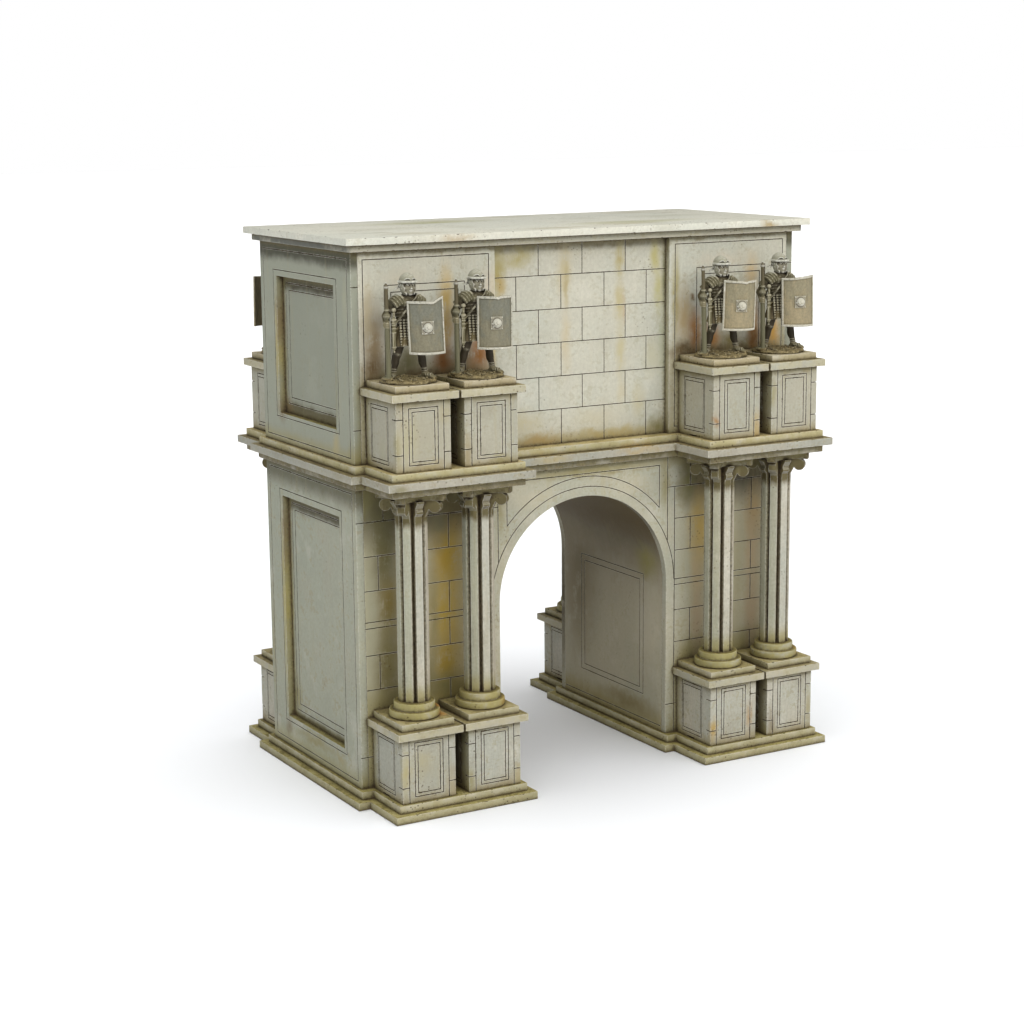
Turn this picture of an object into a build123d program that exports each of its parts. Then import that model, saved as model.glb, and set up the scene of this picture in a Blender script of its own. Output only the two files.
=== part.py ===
from build123d import *
import math
import os

# Tabletop model of a triumphal arch, built up from 2.6 mm board.
# Millimetres. +X along the front, front faces -Y, +Z up.
# Origin at the centre of the underside of the two plinths.

os.makedirs("parts", exist_ok=True)

# ---- driving dimensions -------------------------------------------------
T = 2.6                      # board thickness

# heights
Z_PL1 = 2.7                  # top of the lower plinth board
Z_PL2 = 5.4                  # top of the upper plinth board, foot of the walls
Z_SPR = 62.5                 # springing of the arch
Z_C0 = 107.9                 # underside of the cornice, top of the lower walls
Z_C1 = Z_C0 + T              # lower / middle cornice board
Z_C2 = Z_C1 + T              # middle / upper cornice board
Z_C3 = Z_C2 + T              # top of the cornice, foot of the attic
Z_A1 = 185.1                 # top of the attic walls
Z_R1 = 187.4                 # lower / upper roof board
Z_R2 = 189.7                 # top of the roof

# walls in plan
END_X = 88.2                 # outer face of the end frames
WALL_Y = 36.2                # outer face of the front and rear walls
ARCH_R = 34.3                # clear half width of the passage and arch radius
ATT_PX = 35.0                # inner edge of the attic panels

# cornice and plinth outlines: main body and the projections under the columns
CW_X, CW_Y = 92.0, 41.5      # widest board of the cornice, main body
CP_XI, CP_XO, CP_Y = 34.4, 88.5, 61.5
STEP = 2.5                   # set-back of the boards above and below it
PL_XI, PL_XO, PL_Y = 30.6, 92.1, 41.7
PP_XI, PP_XO, PP_Y = 34.5, 87.9, 61.4

# columns
COL_X = (49.0, 73.85)        # distance of the column axes from the centre
COL_Y = 47.8                 # distance of the column axes from the centre line
BOX_H = 9.9                  # half width of the pedestal boxes
CAP_H = 12.0                 # half width of the pedestal caps
BLK_H = 9.7                  # half width of the square block on the cap
Z_B1 = 27.5                  # top of the lower pedestal box
Z_B2 = 30.0                  # top of its cap
Z_B3 = 32.4                  # top of the block
Z_D1 = 35.1                  # top of the wide base ring
Z_D2 = 37.7                  # top of the narrow base ring
D1_R, D2_R = 8.4, 6.9
SH_R = 5.15                  # half width of the crossed strips of the shaft
Z_AB = 105.3                 # underside of the abacus
VOL_R, VOL_C, VOL_Z = 2.05, 8.4, 103.2   # volute radius, distance, height
AB_A, AB_B, AB_M = 9.4, 7.0, 5.6         # abacus corner, chamfer, waist

# attic pedestals and figures
Z_U1 = 138.8                 # top of the upper pedestal box
Z_U2 = 141.3                 # top of its cap
Z_U3 = 143.6                 # top of the statue block
FIG_B = 1.2                  # thickness of the figure's round foot
FIG_BR = 9.4
FIG_H = 34.0                 # sole to helmet top

# recessed panels of the ends
LE_Y, LE_Z0, LE_Z1 = 23.2, 16.3, 96.6
AE_Y, AE_Z0, AE_Z1 = 22.9, 126.0, 173.6


def box(x0, x1, y0, y1, z0, z1):
    """Axis-aligned block between two corners."""
    return Pos(min(x0, x1), min(y0, y1), min(z0, z1)) * Box(
        abs(x1 - x0), abs(y1 - y0), abs(z1 - z0),
        align=(Align.MIN, Align.MIN, Align.MIN))


def save(name, solids):
    """Write one node: a solid, or several that do not touch."""
    parts = []
    for s in solids:
        parts.extend(s.solids())
    shape = parts[0] if len(parts) == 1 else Compound(children=parts)
    export_step(shape, "parts/" + name + ".step")


def plan(points, z0, z1):
    """A board cut to a closed outline."""
    face = make_face(Polyline(*[(x, y) for x, y in points], close=True))
    return Pos(0, 0, z0) * extrude(face, z1 - z0, dir=(0, 0, 1))


def flip(shapes):
    """The same pieces on the rear, turned half round."""
    return [Rot(0, 0, 180) * s for s in shapes]


# ---- plinth -------------------------------------------------------------
def pier_outline(inset):
    xi, xo, y = PL_XI + inset, PL_XO - inset, PL_Y - inset
    pi, po, py = PP_XI + inset, PP_XO - inset, PP_Y - inset
    return [(xi, -y), (pi, -y), (pi, -py), (po, -py), (po, -y), (xo, -y),
            (xo, y), (po, y), (po, py), (pi, py), (pi, y), (xi, y)]


for name, inset, z0, z1 in (("plinth_lower_boards", 0.0, 0.0, Z_PL1),
                            ("plinth_upper_boards", STEP + 0.1, Z_PL1, Z_PL2)):
    right = plan(pier_outline(inset), z0, z1)
    save(name, [right, Rot(0, 0, 180) * right])

# ---- lower walls --------------------------------------------------------
for side, turn in (("front", 0), ("rear", 180)):
    pier = [box(s * ARCH_R, s * (END_X - T), -WALL_Y, -WALL_Y + T, Z_PL2, Z_SPR)
            for s in (-1, 1)]
    arch = box(-END_X + T, END_X - T, -WALL_Y, -WALL_Y + T, Z_SPR, Z_C0)
    arch -= Pos(0, -WALL_Y + T / 2, Z_SPR) * Rot(90, 0, 0) * Cylinder(ARCH_R, 3 * T)
    save(side + "_pier_walls", [Rot(0, 0, turn) * p for p in pier])
    save(side + "_arch_wall", [Rot(0, 0, turn) * arch])

save("passage_walls", [box(s * ARCH_R, s * (ARCH_R + T), -WALL_Y + T, WALL_Y - T,
                           Z_PL2, Z_SPR) for s in (-1, 1)])

barrel_len = 2 * (WALL_Y - T)
vault = Rot(90, 0, 0) * Cylinder(ARCH_R + T, barrel_len)
vault -= Rot(90, 0, 0) * Cylinder(ARCH_R, 2 * barrel_len)
vault -= box(-60, 60, -60, 60, -60, 0)
save("arch_vault", [Pos(0, 0, Z_SPR) * vault])


def end_pair(x_out, y_half, z0, z1, opening=None):
    out = []
    for s in (-1, 1):
        sheet = box(s * x_out, s * (x_out - T), -y_half, y_half, z0, z1)
        if opening:
            oy, oz0, oz1 = opening
            sheet -= box(s * (x_out + 5), s * (x_out - T - 5), -oy, oy, oz0, oz1)
        out.append(sheet)
    return out


save("lower_end_frames", end_pair(END_X, WALL_Y, Z_PL2, Z_C0, (LE_Y, LE_Z0, LE_Z1)))
save("lower_end_panels", end_pair(END_X - T, WALL_Y - T, Z_PL2, Z_C0))


# ---- cornice ------------------------------------------------------------
def cornice_outline(inset):
    x, y = CW_X - inset, CW_Y - inset
    pi, po, py = CP_XI + inset, CP_XO - inset, CP_Y - inset
    q = [(pi, -y), (pi, -py), (po, -py), (po, -y), (x, -y)]
    right = q + [(a, -b) for a, b in reversed(q)]
    return right + [(-a, -b) for a, b in right]


save("cornice_lower_board", [plan(cornice_outline(STEP), Z_C0, Z_C1)])
save("cornice_middle_board", [plan(cornice_outline(0.0), Z_C1, Z_C2)])
save("cornice_upper_board", [plan(cornice_outline(STEP), Z_C2, Z_C3)])

# ---- attic and roof -----------------------------------------------------
for side, turn in (("front", 0), ("rear", 180)):
    wall = box(-END_X + 2 * T, END_X - 2 * T, -WALL_Y + T, -WALL_Y + 2 * T, Z_C3, Z_A1)
    panels = [box(s * ATT_PX, s * (END_X - T), -WALL_Y, -WALL_Y + T, Z_C3, Z_A1)
              for s in (-1, 1)]
    save(side + "_attic_wall", [Rot(0, 0, turn) * wall])
    save(side + "_attic_panels", [Rot(0, 0, turn) * p for p in panels])

save("attic_end_frames", end_pair(END_X, WALL_Y, Z_C3, Z_A1, (AE_Y, AE_Z0, AE_Z1)))
save("attic_end_panels", end_pair(END_X - T, WALL_Y - T, Z_C3, Z_A1))
save("roof_lower_board", [box(-89.9, 89.9, -39.2, 39.2, Z_A1, Z_R1)])
save("roof_upper_board", [box(-92.0, 92.0, -41.8, 41.8, Z_R1, Z_R2)])


# ---- pedestals, caps and blocks -----------------------------------------
def along(make):
    """The four pieces of one side, at the four column axes."""
    return [make(s * x) for s in (-1, 1) for x in COL_X]


def pedestal(z0, z1):
    def make(cx):
        yf = -COL_Y - BOX_H
        shell = box(cx - BOX_H, cx + BOX_H, yf, -WALL_Y, z0, z1)
        shell -= box(cx - BOX_H + T, cx + BOX_H - T, yf + T, -WALL_Y + 1, z0 - 1, z1 + 1)
        return shell
    return make


def slab(half, z0, z1):
    return lambda cx: box(cx - half, cx + half, -COL_Y - half, -WALL_Y, z0, z1)


# ---- columns ------------------------------------------------------------
def column_base(cx):
    wide = Pos(0, 0, Z_B3) * Cylinder(D1_R, Z_D1 - Z_B3,
                                      align=(Align.CENTER, Align.CENTER, Align.MIN))
    narrow = Pos(0, 0, Z_D1) * Cylinder(D2_R, Z_D2 - Z_D1,
                                        align=(Align.CENTER, Align.CENTER, Align.MIN))
    wide = fillet(wide.edges(), 0.45)
    narrow = fillet(narrow.edges().group_by(Axis.Z)[-1], 0.45)
    return Pos(cx, -COL_Y, 0) * (wide + narrow)


def strip(outline):
    """A board outline in radius and height, T thick, standing in the XZ plane."""
    face = make_face(Polyline(*[(r, 0, z) for r, z in outline], close=True))
    return extrude(face, T / 2, dir=(0, 1, 0), both=True)


def both_sides(right):
    return right + [(-r, z) for r, z in reversed(right)]


def shaft(cx):
    plain = both_sides([(SH_R, Z_D2), (SH_R, 100.2), (6.1, 101.2), (6.1, 101.7),
                        (5.6, 102.5), (5.9, 103.2), (7.0, 104.7), (7.0, Z_AB)])
    scroll = both_sides([(SH_R, Z_D2), (SH_R, 99.6), (6.2, 101.6), (6.9, 103.2),
                         (VOL_C, Z_AB - 0.2), (VOL_C, Z_AB)])
    a = strip(plain)
    b = strip(scroll)
    for s in (-1, 1):
        b += Pos(s * VOL_C, 0, VOL_Z) * Rot(90, 0, 0) * Cylinder(VOL_R, T)
    body = a + Rot(0, 0, 90) * a + Rot(0, 0, 45) * b + Rot(0, 0, 135) * b
    return Pos(cx, -COL_Y, 0) * body


def abacus(cx):
    def side(k):
        p = Rot(0, 0, 90 * k)
        pts = [p * Pos(x, y, 0) for x, y in ((-AB_B, -AB_A), (0, -AB_M), (AB_B, -AB_A))]
        pts = [q.position for q in pts]
        nxt = (p * Pos(AB_A, -AB_B, 0)).position
        return [ThreePointArc(*pts), Line(pts[2], nxt)]
    edges = [e for k in range(4) for e in side(k)]
    face = make_face(edges)
    return Pos(cx, -COL_Y, Z_AB) * extrude(face, Z_C0 - Z_AB, dir=(0, 0, 1))


# ---- figures ------------------------------------------------------------
Z_F0 = Z_U3 + FIG_B          # soles of the figure
SPEAR = (-7.9, -1.0)         # spear beside the figure's right hand
SHIELD_C = (2.45, -9.4, 16.9) # outermost point of the shield, from the figure's axis
SHIELD_W, SHIELD_L, SHIELD_R, SHIELD_T = 12.1, 17.7, 7.76, 0.8
SHIELD_A = -16               # the shield is turned a little towards the right hand


def limb(p0, r0, p1, r1):
    """A tapering round limb between two points."""
    p0, p1 = Vector(*p0), Vector(*p1)
    d = p1 - p0
    return Plane(origin=p0, z_dir=d) * Cone(
        r0, r1, d.length, align=(Align.CENTER, Align.CENTER, Align.MIN))


def ring(cx, cy, a, b, z):
    """Eight-sided section of the trunk."""
    pts = [(cx + a * math.cos(math.radians(22.5 + 45 * k)),
            cy + b * math.sin(math.radians(22.5 + 45 * k)), z) for k in range(8)]
    return make_face(Polyline(*pts, close=True))


def figure(cx):
    """A standing soldier reduced to plain forms, on his round foot."""
    up = (Align.CENTER, Align.CENTER, Align.MIN)
    f = Pos(0, 0, -FIG_B) * Cylinder(FIG_BR, FIG_B, align=up)
    f += limb((-6.4, 0.6, -0.2), 1.5, (-2.4, 0.3, 14.0), 2.2)
    f += limb((5.2, -0.6, -0.2), 1.5, (2.4, 0.3, 14.0), 2.2)
    f += Pos(-7.0, -0.6, 0.6) * Rot(0, 0, -35) * Box(2.4, 4.6, 1.6)
    f += Pos(6.1, -2.0, 0.6) * Rot(0, 0, 35) * Box(2.4, 4.6, 1.6)
    trunk = [(0, 0.2, 5.3, 3.9, 11.0), (0, 0.2, 3.9, 3.1, 17.5), (0, 0.2, 5.6, 3.2, 25.0),
             (0.2, 0.2, 2.0, 1.9, 28.0)]
    for lo, hi in zip(trunk, trunk[1:]):
        f += loft([ring(*lo), ring(*hi)], ruled=True)
    f += Pos(0.3, -0.2, 30.6) * Sphere(3.4)
    f += limb((-5.2, 0.4, 24.6), 1.7, (-6.4, 1.6, 19.6), 1.4)
    f += limb((-6.4, 1.6, 19.6), 1.4, (SPEAR[0], SPEAR[1], 17.6), 1.2)
    f += Pos(SPEAR[0], SPEAR[1], -0.2) * Cylinder(0.75, 31.5, align=up)
    f += limb((5.0, 0.4, 24.2), 1.7, (6.2, -0.6, 18.6), 1.4)
    f += limb((6.2, -0.6, 18.6), 1.4, (2.9, -8.25, 17.0), 1.1)
    return Pos(cx, -COL_Y, Z_F0) * f


def shield(cx):
    """Curved rectangular shield carried on the left arm."""
    x, y, z = SHIELD_C
    s = Cylinder(SHIELD_R, SHIELD_L) - Cylinder(SHIELD_R - SHIELD_T, 2 * SHIELD_L)
    s &= Pos(0, -SHIELD_R, 0) * Box(SHIELD_W, SHIELD_R, 2 * SHIELD_L)
    return Pos(cx + x, -COL_Y + y, Z_F0 + z) * Rot(0, 0, SHIELD_A) * Pos(0, SHIELD_R, 0) * s


for side, turn in (("front", 0), ("rear", 180)):
    r = Rot(0, 0, turn)
    for name, make in (
            ("lower_pedestals", pedestal(Z_PL2, Z_B1)),
            ("lower_pedestal_caps", slab(CAP_H, Z_B1, Z_B2)),
            ("column_blocks", slab(BLK_H, Z_B2, Z_B3)),
            ("column_bases", column_base),
            ("column_shafts", shaft),
            ("column_abaci", abacus),
            ("upper_pedestals", pedestal(Z_C3, Z_U1)),
            ("upper_pedestal_caps", slab(CAP_H, Z_U1, Z_U2)),
            ("statue_blocks", slab(BLK_H, Z_U2, Z_U3)),
            ("statues", figure),
            ("statue_shields", shield)):
        save(side + "_" + name, [r * s for s in along(make)])
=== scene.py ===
import bpy, bmesh, math
import numpy as np
from mathutils import Matrix, Vector

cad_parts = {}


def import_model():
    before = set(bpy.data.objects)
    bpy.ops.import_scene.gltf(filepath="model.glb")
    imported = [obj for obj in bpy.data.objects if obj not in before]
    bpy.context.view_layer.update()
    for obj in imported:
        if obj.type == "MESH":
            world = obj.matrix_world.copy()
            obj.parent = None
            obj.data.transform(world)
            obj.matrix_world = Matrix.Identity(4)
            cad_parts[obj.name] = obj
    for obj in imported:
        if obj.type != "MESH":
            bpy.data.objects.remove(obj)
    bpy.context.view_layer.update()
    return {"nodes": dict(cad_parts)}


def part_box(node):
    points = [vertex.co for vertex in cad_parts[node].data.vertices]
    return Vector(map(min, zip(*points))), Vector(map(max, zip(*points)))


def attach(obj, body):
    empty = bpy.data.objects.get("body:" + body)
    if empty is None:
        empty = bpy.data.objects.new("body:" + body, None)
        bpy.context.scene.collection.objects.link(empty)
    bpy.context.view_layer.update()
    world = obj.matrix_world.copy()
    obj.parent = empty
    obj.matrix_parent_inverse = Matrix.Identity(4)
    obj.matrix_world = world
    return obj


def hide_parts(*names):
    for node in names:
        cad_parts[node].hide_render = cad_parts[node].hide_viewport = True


# Visual model of the painted board arch. Lengths below are in millimetres in the
# part's frame (front faces -Y, +Z up) and are scaled to metres as meshes are made.

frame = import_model()
MM = 0.001
rng = np.random.default_rng(11)
SCENE = bpy.context.scene
NODES = frame["nodes"]

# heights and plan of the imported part, read from its nodes ------------------


def lohi(node):
    a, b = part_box(node)
    return [c / MM for c in a], [c / MM for c in b]


COL_X = (49.0, 73.85)
COL_Y = 47.8
WALL_Y = -lohi("front_arch_wall")[0][1]
END_X = lohi("lower_end_frames")[1][0]
Z_SPR = lohi("front_arch_wall")[0][2]
Z_C0 = lohi("front_arch_wall")[1][2]
Z_C3 = lohi("attic_end_frames")[0][2]
Z_A1 = lohi("attic_end_frames")[1][2]
Z_PL2 = lohi("lower_end_frames")[0][2]
T = 2.6


# ---- node graphs -----------------------------------------------------------
class Graph:
    """A thin layer over a shader tree, so that masks read as sums."""

    def __init__(self, tree):
        self.t = tree

    def node(self, kind, **props):
        n = self.t.nodes.new(kind)
        for k, v in props.items():
            setattr(n, k, v)
        return n

    def put(self, sock, v):
        if v is None:
            return
        if isinstance(v, bpy.types.NodeSocket):
            self.t.links.new(v, sock)
        elif isinstance(v, (tuple, list)) and sock.type == "RGBA" and len(v) == 3:
            sock.default_value = (*v, 1)
        else:
            sock.default_value = v

    def m(self, op, a, b=None, c=None, clamp=False):
        n = self.node("ShaderNodeMath", operation=op, use_clamp=clamp)
        for s, v in zip(n.inputs, (a, b, c)):
            self.put(s, v)
        return n.outputs[0]

    def v(self, op, a, b=None):
        n = self.node("ShaderNodeVectorMath", operation=op)
        self.put(n.inputs[0], a)
        if b is not None:
            self.put(n.inputs[1], b)
        return n.outputs[1] if op in ("DOT_PRODUCT", "LENGTH", "DISTANCE") else n.outputs[0]

    def mix(self, f, a, b, mode="MIX"):
        n = self.node("ShaderNodeMix", data_type="RGBA", blend_type=mode, clamp_factor=True)
        self.put(n.inputs[0], f)
        self.put(n.inputs[6], a)
        self.put(n.inputs[7], b)
        return n.outputs[2]

    def span(self, v, a, b, lo=0.0, hi=1.0, smooth=True):
        n = self.node("ShaderNodeMapRange", interpolation_type="SMOOTHSTEP" if smooth else "LINEAR")
        self.put(n.inputs[0], v)
        for i, x in zip((1, 2, 3, 4), (a, b, lo, hi)):
            n.inputs[i].default_value = x
        return n.outputs[0]

    def noise(self, vec, scale, detail=3.0, rough=0.55, warp=0.0):
        n = self.node("ShaderNodeTexNoise")
        self.put(n.inputs["Vector"], vec)
        n.inputs["Scale"].default_value = scale
        n.inputs["Detail"].default_value = detail
        n.inputs["Roughness"].default_value = rough
        n.inputs["Distortion"].default_value = warp
        return n.outputs[0]

    def occl(self, dist, samples=6):
        n = self.node("ShaderNodeAmbientOcclusion", samples=samples)
        n.inputs["Distance"].default_value = dist * MM
        return n.outputs["AO"]

    def total(self, *vs):
        out = vs[0]
        for x in vs[1:]:
            out = self.m("ADD", out, x)
        return out

    def times(self, *vs):
        out = vs[0]
        for x in vs[1:]:
            out = self.m("MULTIPLY", out, x)
        return out


BONE = (0.610, 0.575, 0.470)
STONE = (0.535, 0.535, 0.455)
PALE = (0.740, 0.715, 0.620)
MOSS = (0.285, 0.250, 0.110)
OLIVE = (0.200, 0.180, 0.075)
OCHRE = (0.430, 0.285, 0.075)
STRAW = (0.520, 0.420, 0.190)
RUST = (0.320, 0.150, 0.035)
BROWN = (0.190, 0.130, 0.065)
UMBER = (0.085, 0.062, 0.034)
SOOT = (0.040, 0.030, 0.020)


def smear(g, P, at, r, warp):
    """Soft blot around a point: 1 in the middle, 0 at the radii."""
    d = g.v("LENGTH", g.v("DIVIDE", g.v("SUBTRACT", g.v("ADD", P, warp), at), r))
    return g.span(d, 1.05, 0.0)


def painted(name, a=BONE, b=STONE, tone=1.0, mottle=1.0, grime_and_shade=1.0, wash_shade_c=MOSS, deep_wash_shade=1.0, under=0.75,
            ledge=1.0, ledge_c=(0.330, 0.275, 0.120), streaks=0.3, run_c=(0.400, 0.340, 0.175), bands=(),
            blots=(), tint=None, specks=0.5, edge=1.0, nicks=0.4, corner=1.0, reach=1.6,
            flow=(1.0, 1.0, 0.06), brush=0.5, ribs=False, jag=3.5, upright=True, seed=0.0):
    """Matt stone paint in layers: brushed coats, olive and umber darkening under ledges, in recesses and in corners
    (partly the real wash, partly painted shade), painted shade on undersides, stains with some painted shade and
    light, pigment on ledges, specks, and pale brushed edges with dark nicks."""
    mat = bpy.data.materials.new(name)
    mat.use_nodes = True
    g = Graph(mat.node_tree)
    bsdf = mat.node_tree.nodes["Principled BSDF"]
    tc = g.node("ShaderNodeTexCoord")
    P = g.v("MULTIPLY", tc.outputs["Object"], (1000.0, 1000.0, 1000.0))
    Q = g.v("ADD", P, (37.0 * seed, 19.0 * seed, 11.0 * seed))
    geo = g.node("ShaderNodeNewGeometry")
    sepn = g.node("ShaderNodeSeparateXYZ")
    g.put(sepn.inputs[0], geo.outputs["Normal"])
    up = sepn.outputs[2]
    sepp = g.node("ShaderNodeSeparateXYZ")
    g.put(sepp.inputs[0], P)
    px, py, pz = sepp.outputs

    big = g.noise(Q, 0.024, 2, 0.5)
    mid = g.noise(Q, 0.15, 4, 0.6)
    fine = g.noise(Q, 1.05, 5, 0.65)
    grain = g.noise(Q, 5.0, 3, 0.7)
    hair = g.noise(g.v("MULTIPLY", Q, (3.2, 3.2, 0.22)), 1.0, 3, 0.6)
    run = g.noise(g.v("MULTIPLY", Q, flow), 0.32, 4, 0.6)
    mid0 = g.m("SUBTRACT", mid, 0.5)
    fine0 = g.m("SUBTRACT", fine, 0.5)
    run0 = g.m("SUBTRACT", run, 0.5)

    def tinted(col, amount):
        c = g.node("ShaderNodeCombineColor")
        for q in c.inputs[:3]:
            g.put(q, amount)
        return g.mix(1.0, col, c.outputs[0], "MULTIPLY")

    wide = g.occl(8.0, 7)
    near = g.occl(reach, 5)
    shut = g.m("SUBTRACT", 1.0, wide)
    wall = g.span(g.m("ABSOLUTE", up), 0.75, 0.25)
    flat = g.span(up, 0.55, 0.9)

    # brushed coats
    col = g.mix(g.span(g.total(big, g.times(mid0, 0.5)), 0.36, 0.66), a, b)
    # rib sides: the left half of each shaft, seen from its own face, takes a darker cooler tone as painted shade; the
    # right half takes a warmer pinkish tone as painted light
    if ribs:
        w = g.m("SUBTRACT", g.m("ABSOLUTE", px), 61.425)
        u = g.times(g.m("SIGN", px), g.m("SIGN", w), g.m("SUBTRACT", g.m("ABSOLUTE", w), 12.425))
        u = g.times(u, g.m("MULTIPLY", g.m("SIGN", py), -1.0))
        col = g.mix(g.times(g.span(u, -1.2, -3.6), 0.75), col, (0.455, 0.455, 0.335))
        col = g.mix(g.times(g.span(u, 1.6, 3.8), 0.65), col, (0.560, 0.480, 0.370))
    patch = g.noise(Q, 0.055, 3, 0.6)
    col = g.mix(g.times(g.span(patch, 0.54, 0.70), 0.30 * mottle), col, PALE)
    col = g.mix(g.times(g.span(patch, 0.46, 0.30), 0.30 * mottle), col, (0.440, 0.415, 0.320))
    col = tinted(col, g.total(g.times(mid0, 0.24 * mottle * tone), g.times(fine0, 0.38 * mottle * tone), g.times(g.m("SUBTRACT", grain, 0.5), 0.20 * mottle * tone),
                              g.times(g.m("SUBTRACT", hair, 0.5), 0.34 * brush * mottle * tone), tone))
    if tint is not None:
        col = g.mix(g.times(g.span(g.total(mid, g.times(fine0, 0.4), g.times(shut, 0.25)), 0.22, 0.62), tint[1]), col, tint[0])
    # small foxed patches
    fox = g.noise(Q, 0.62, 5, 0.72)
    col = g.mix(g.times(g.span(g.total(fox, g.times(mid0, 0.7), g.times(shut, 0.12)), 0.555, 0.66), 0.38 * grime_and_shade), col, (0.300, 0.250, 0.135))
    # tones that change with height on upright faces; the dark bands just under the cornice, roof and caps, at the
    # recess tops, over the vault and on the roof step's ends are painted shade
    for band in bands:
        z0, z1, c, k = band[:4]
        f = g.times(g.span(g.total(pz, g.times(run0, jag), g.times(mid0, 3.5)), z0, z1), k)
        if upright:
            f = g.times(f, wall)
        if len(band) > 4 and band[4]:
            f = g.times(f, g.span(g.total(g.m("ABSOLUTE", px), g.times(mid0, 5.0)), band[4][0], band[4][1]))
        if len(band) > 5:
            f = g.times(f, g.m("LESS_THAN", pz, band[5]))
        if len(band) > 6:
            f = g.times(f, g.m("GREATER_THAN", pz, band[6]))
        col = g.mix(f, col, c)
    # runs
    if streaks > 0:
        s1 = g.times(g.span(run, 0.54, 0.72), wall, g.total(0.45, shut), streaks)
        col = g.mix(s1, col, run_c)
    # darkening below ledges, in recesses and at the foot of walls, from the occlusion masks: partly the real wash,
    # partly painted shade
    g1 = g.times(g.span(g.total(wide, g.times(run0, 0.28), g.times(fine0, 0.20)), 0.86, 0.42), 0.82 * grime_and_shade)
    col = g.mix(g1, col, wash_shade_c)
    g2 = g.times(g.span(g.total(wide, g.times(mid0, 0.40), g.times(run0, 0.25)), 0.52, 0.16), 0.85 * deep_wash_shade)
    col = g.mix(g2, col, UMBER)
    # pigment on ledges
    if ledge > 0:
        l1 = g.times(g.span(g.total(mid, g.times(fine0, 0.7), g.times(shut, 0.6)), 0.22, 0.54), flat, 0.92 * ledge)
        lc = g.mix(g.span(g.total(fine, g.times(mid0, 0.8), g.times(shut, 0.3)), 0.50, 0.72), ledge_c,
                   (ledge_c[0] * 0.48, ledge_c[1] * 0.46, ledge_c[2] * 0.42))
        col = g.mix(l1, col, lc)
    # shaded undersides
    if under > 0:
        col = g.mix(g.times(g.span(up, -0.25, -0.75), g.total(1.0, g.times(mid0, 0.8)), under), col, (0.062, 0.047, 0.027))
    # blots: mostly stains; some are painted shade, one on the passage is painted light
    if blots:
        wn = g.node("ShaderNodeTexNoise")
        g.put(wn.inputs["Vector"], P)
        wn.inputs["Scale"].default_value = 0.17
        wn.inputs["Detail"].default_value = 4
        wn.inputs["Roughness"].default_value = 0.6
        warp3 = g.v("MULTIPLY", g.v("SUBTRACT", wn.outputs["Color"], (0.5, 0.5, 0.5)), (3.2, 3.2, 9.0))
        thin = g.span(g.total(mid, g.times(g.m("SUBTRACT", hair, 0.5), 0.5), g.times(fine0, 0.35)), 0.12, 0.50)
        for at, r, c, k in blots:
            col = g.mix(g.times(smear(g, P, at, r, warp3), thin, k), col, c)
    # dark in the corners: partly the real wash in the joints, partly painted shade
    c1 = g.times(g.span(g.total(near, g.times(fine0, 0.50)), 0.84, 0.42), 0.92 * corner)
    col = g.mix(c1, col, g.mix(g.span(fine, 0.35, 0.65), (0.045, 0.032, 0.020), (0.120, 0.088, 0.046)))
    # specks, alone and in clusters
    sp = g.node("ShaderNodeTexVoronoi", feature="F1")
    g.put(sp.inputs["Vector"], Q)
    sp.inputs["Scale"].default_value = 0.75
    sp.inputs["Randomness"].default_value = 1.0
    lot = g.span(g.total(g.noise(Q, 0.10, 3, 0.6), g.times(shut, 0.22), g.times(flat, 0.06)), 0.55, 0.70)
    dot = g.times(g.span(g.total(sp.outputs["Distance"], g.times(fine0, 0.25)), 0.28, 0.15), lot, 0.85 * specks)
    col = g.mix(dot, col, (0.075, 0.050, 0.026))
    # dry-brushed edges, knocked here and there
    bev = g.node("ShaderNodeBevel", samples=5)
    bev.inputs["Radius"].default_value = 0.42 * MM
    rim = g.m("SUBTRACT", 1.0, g.v("DOT_PRODUCT", bev.outputs[0], geo.outputs["Normal"]))
    e1 = g.times(g.span(rim, 0.012, 0.14), g.span(near, 0.50, 0.82), g.span(g.total(fine, g.times(mid0, 0.9)), 0.30, 0.58), 0.70 * edge)
    col = g.mix(e1, col, PALE)
    knock = g.noise(Q, 0.42, 4, 0.65)
    e2 = g.times(g.span(rim, 0.010, 0.10), g.span(g.total(knock, g.times(shut, 0.25)), 0.585, 0.64), nicks)
    col = g.mix(e2, col, (0.115, 0.078, 0.038))

    g.put(bsdf.inputs["Base Color"], col)
    g.put(bsdf.inputs["Roughness"], g.total(0.74, g.times(fine0, 0.25)))
    bsdf.inputs["Specular IOR Level"].default_value = 0.25
    h = g.total(g.times(grain, 0.35), g.times(fine, 0.9), g.times(hair, 0.35 * brush))
    bump = g.node("ShaderNodeBump")
    bump.inputs["Strength"].default_value = 0.6
    bump.inputs["Distance"].default_value = 0.11 * MM
    g.put(bump.inputs["Height"], h)
    g.put(bsdf.inputs["Normal"], bump.outputs[0])
    return mat


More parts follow.
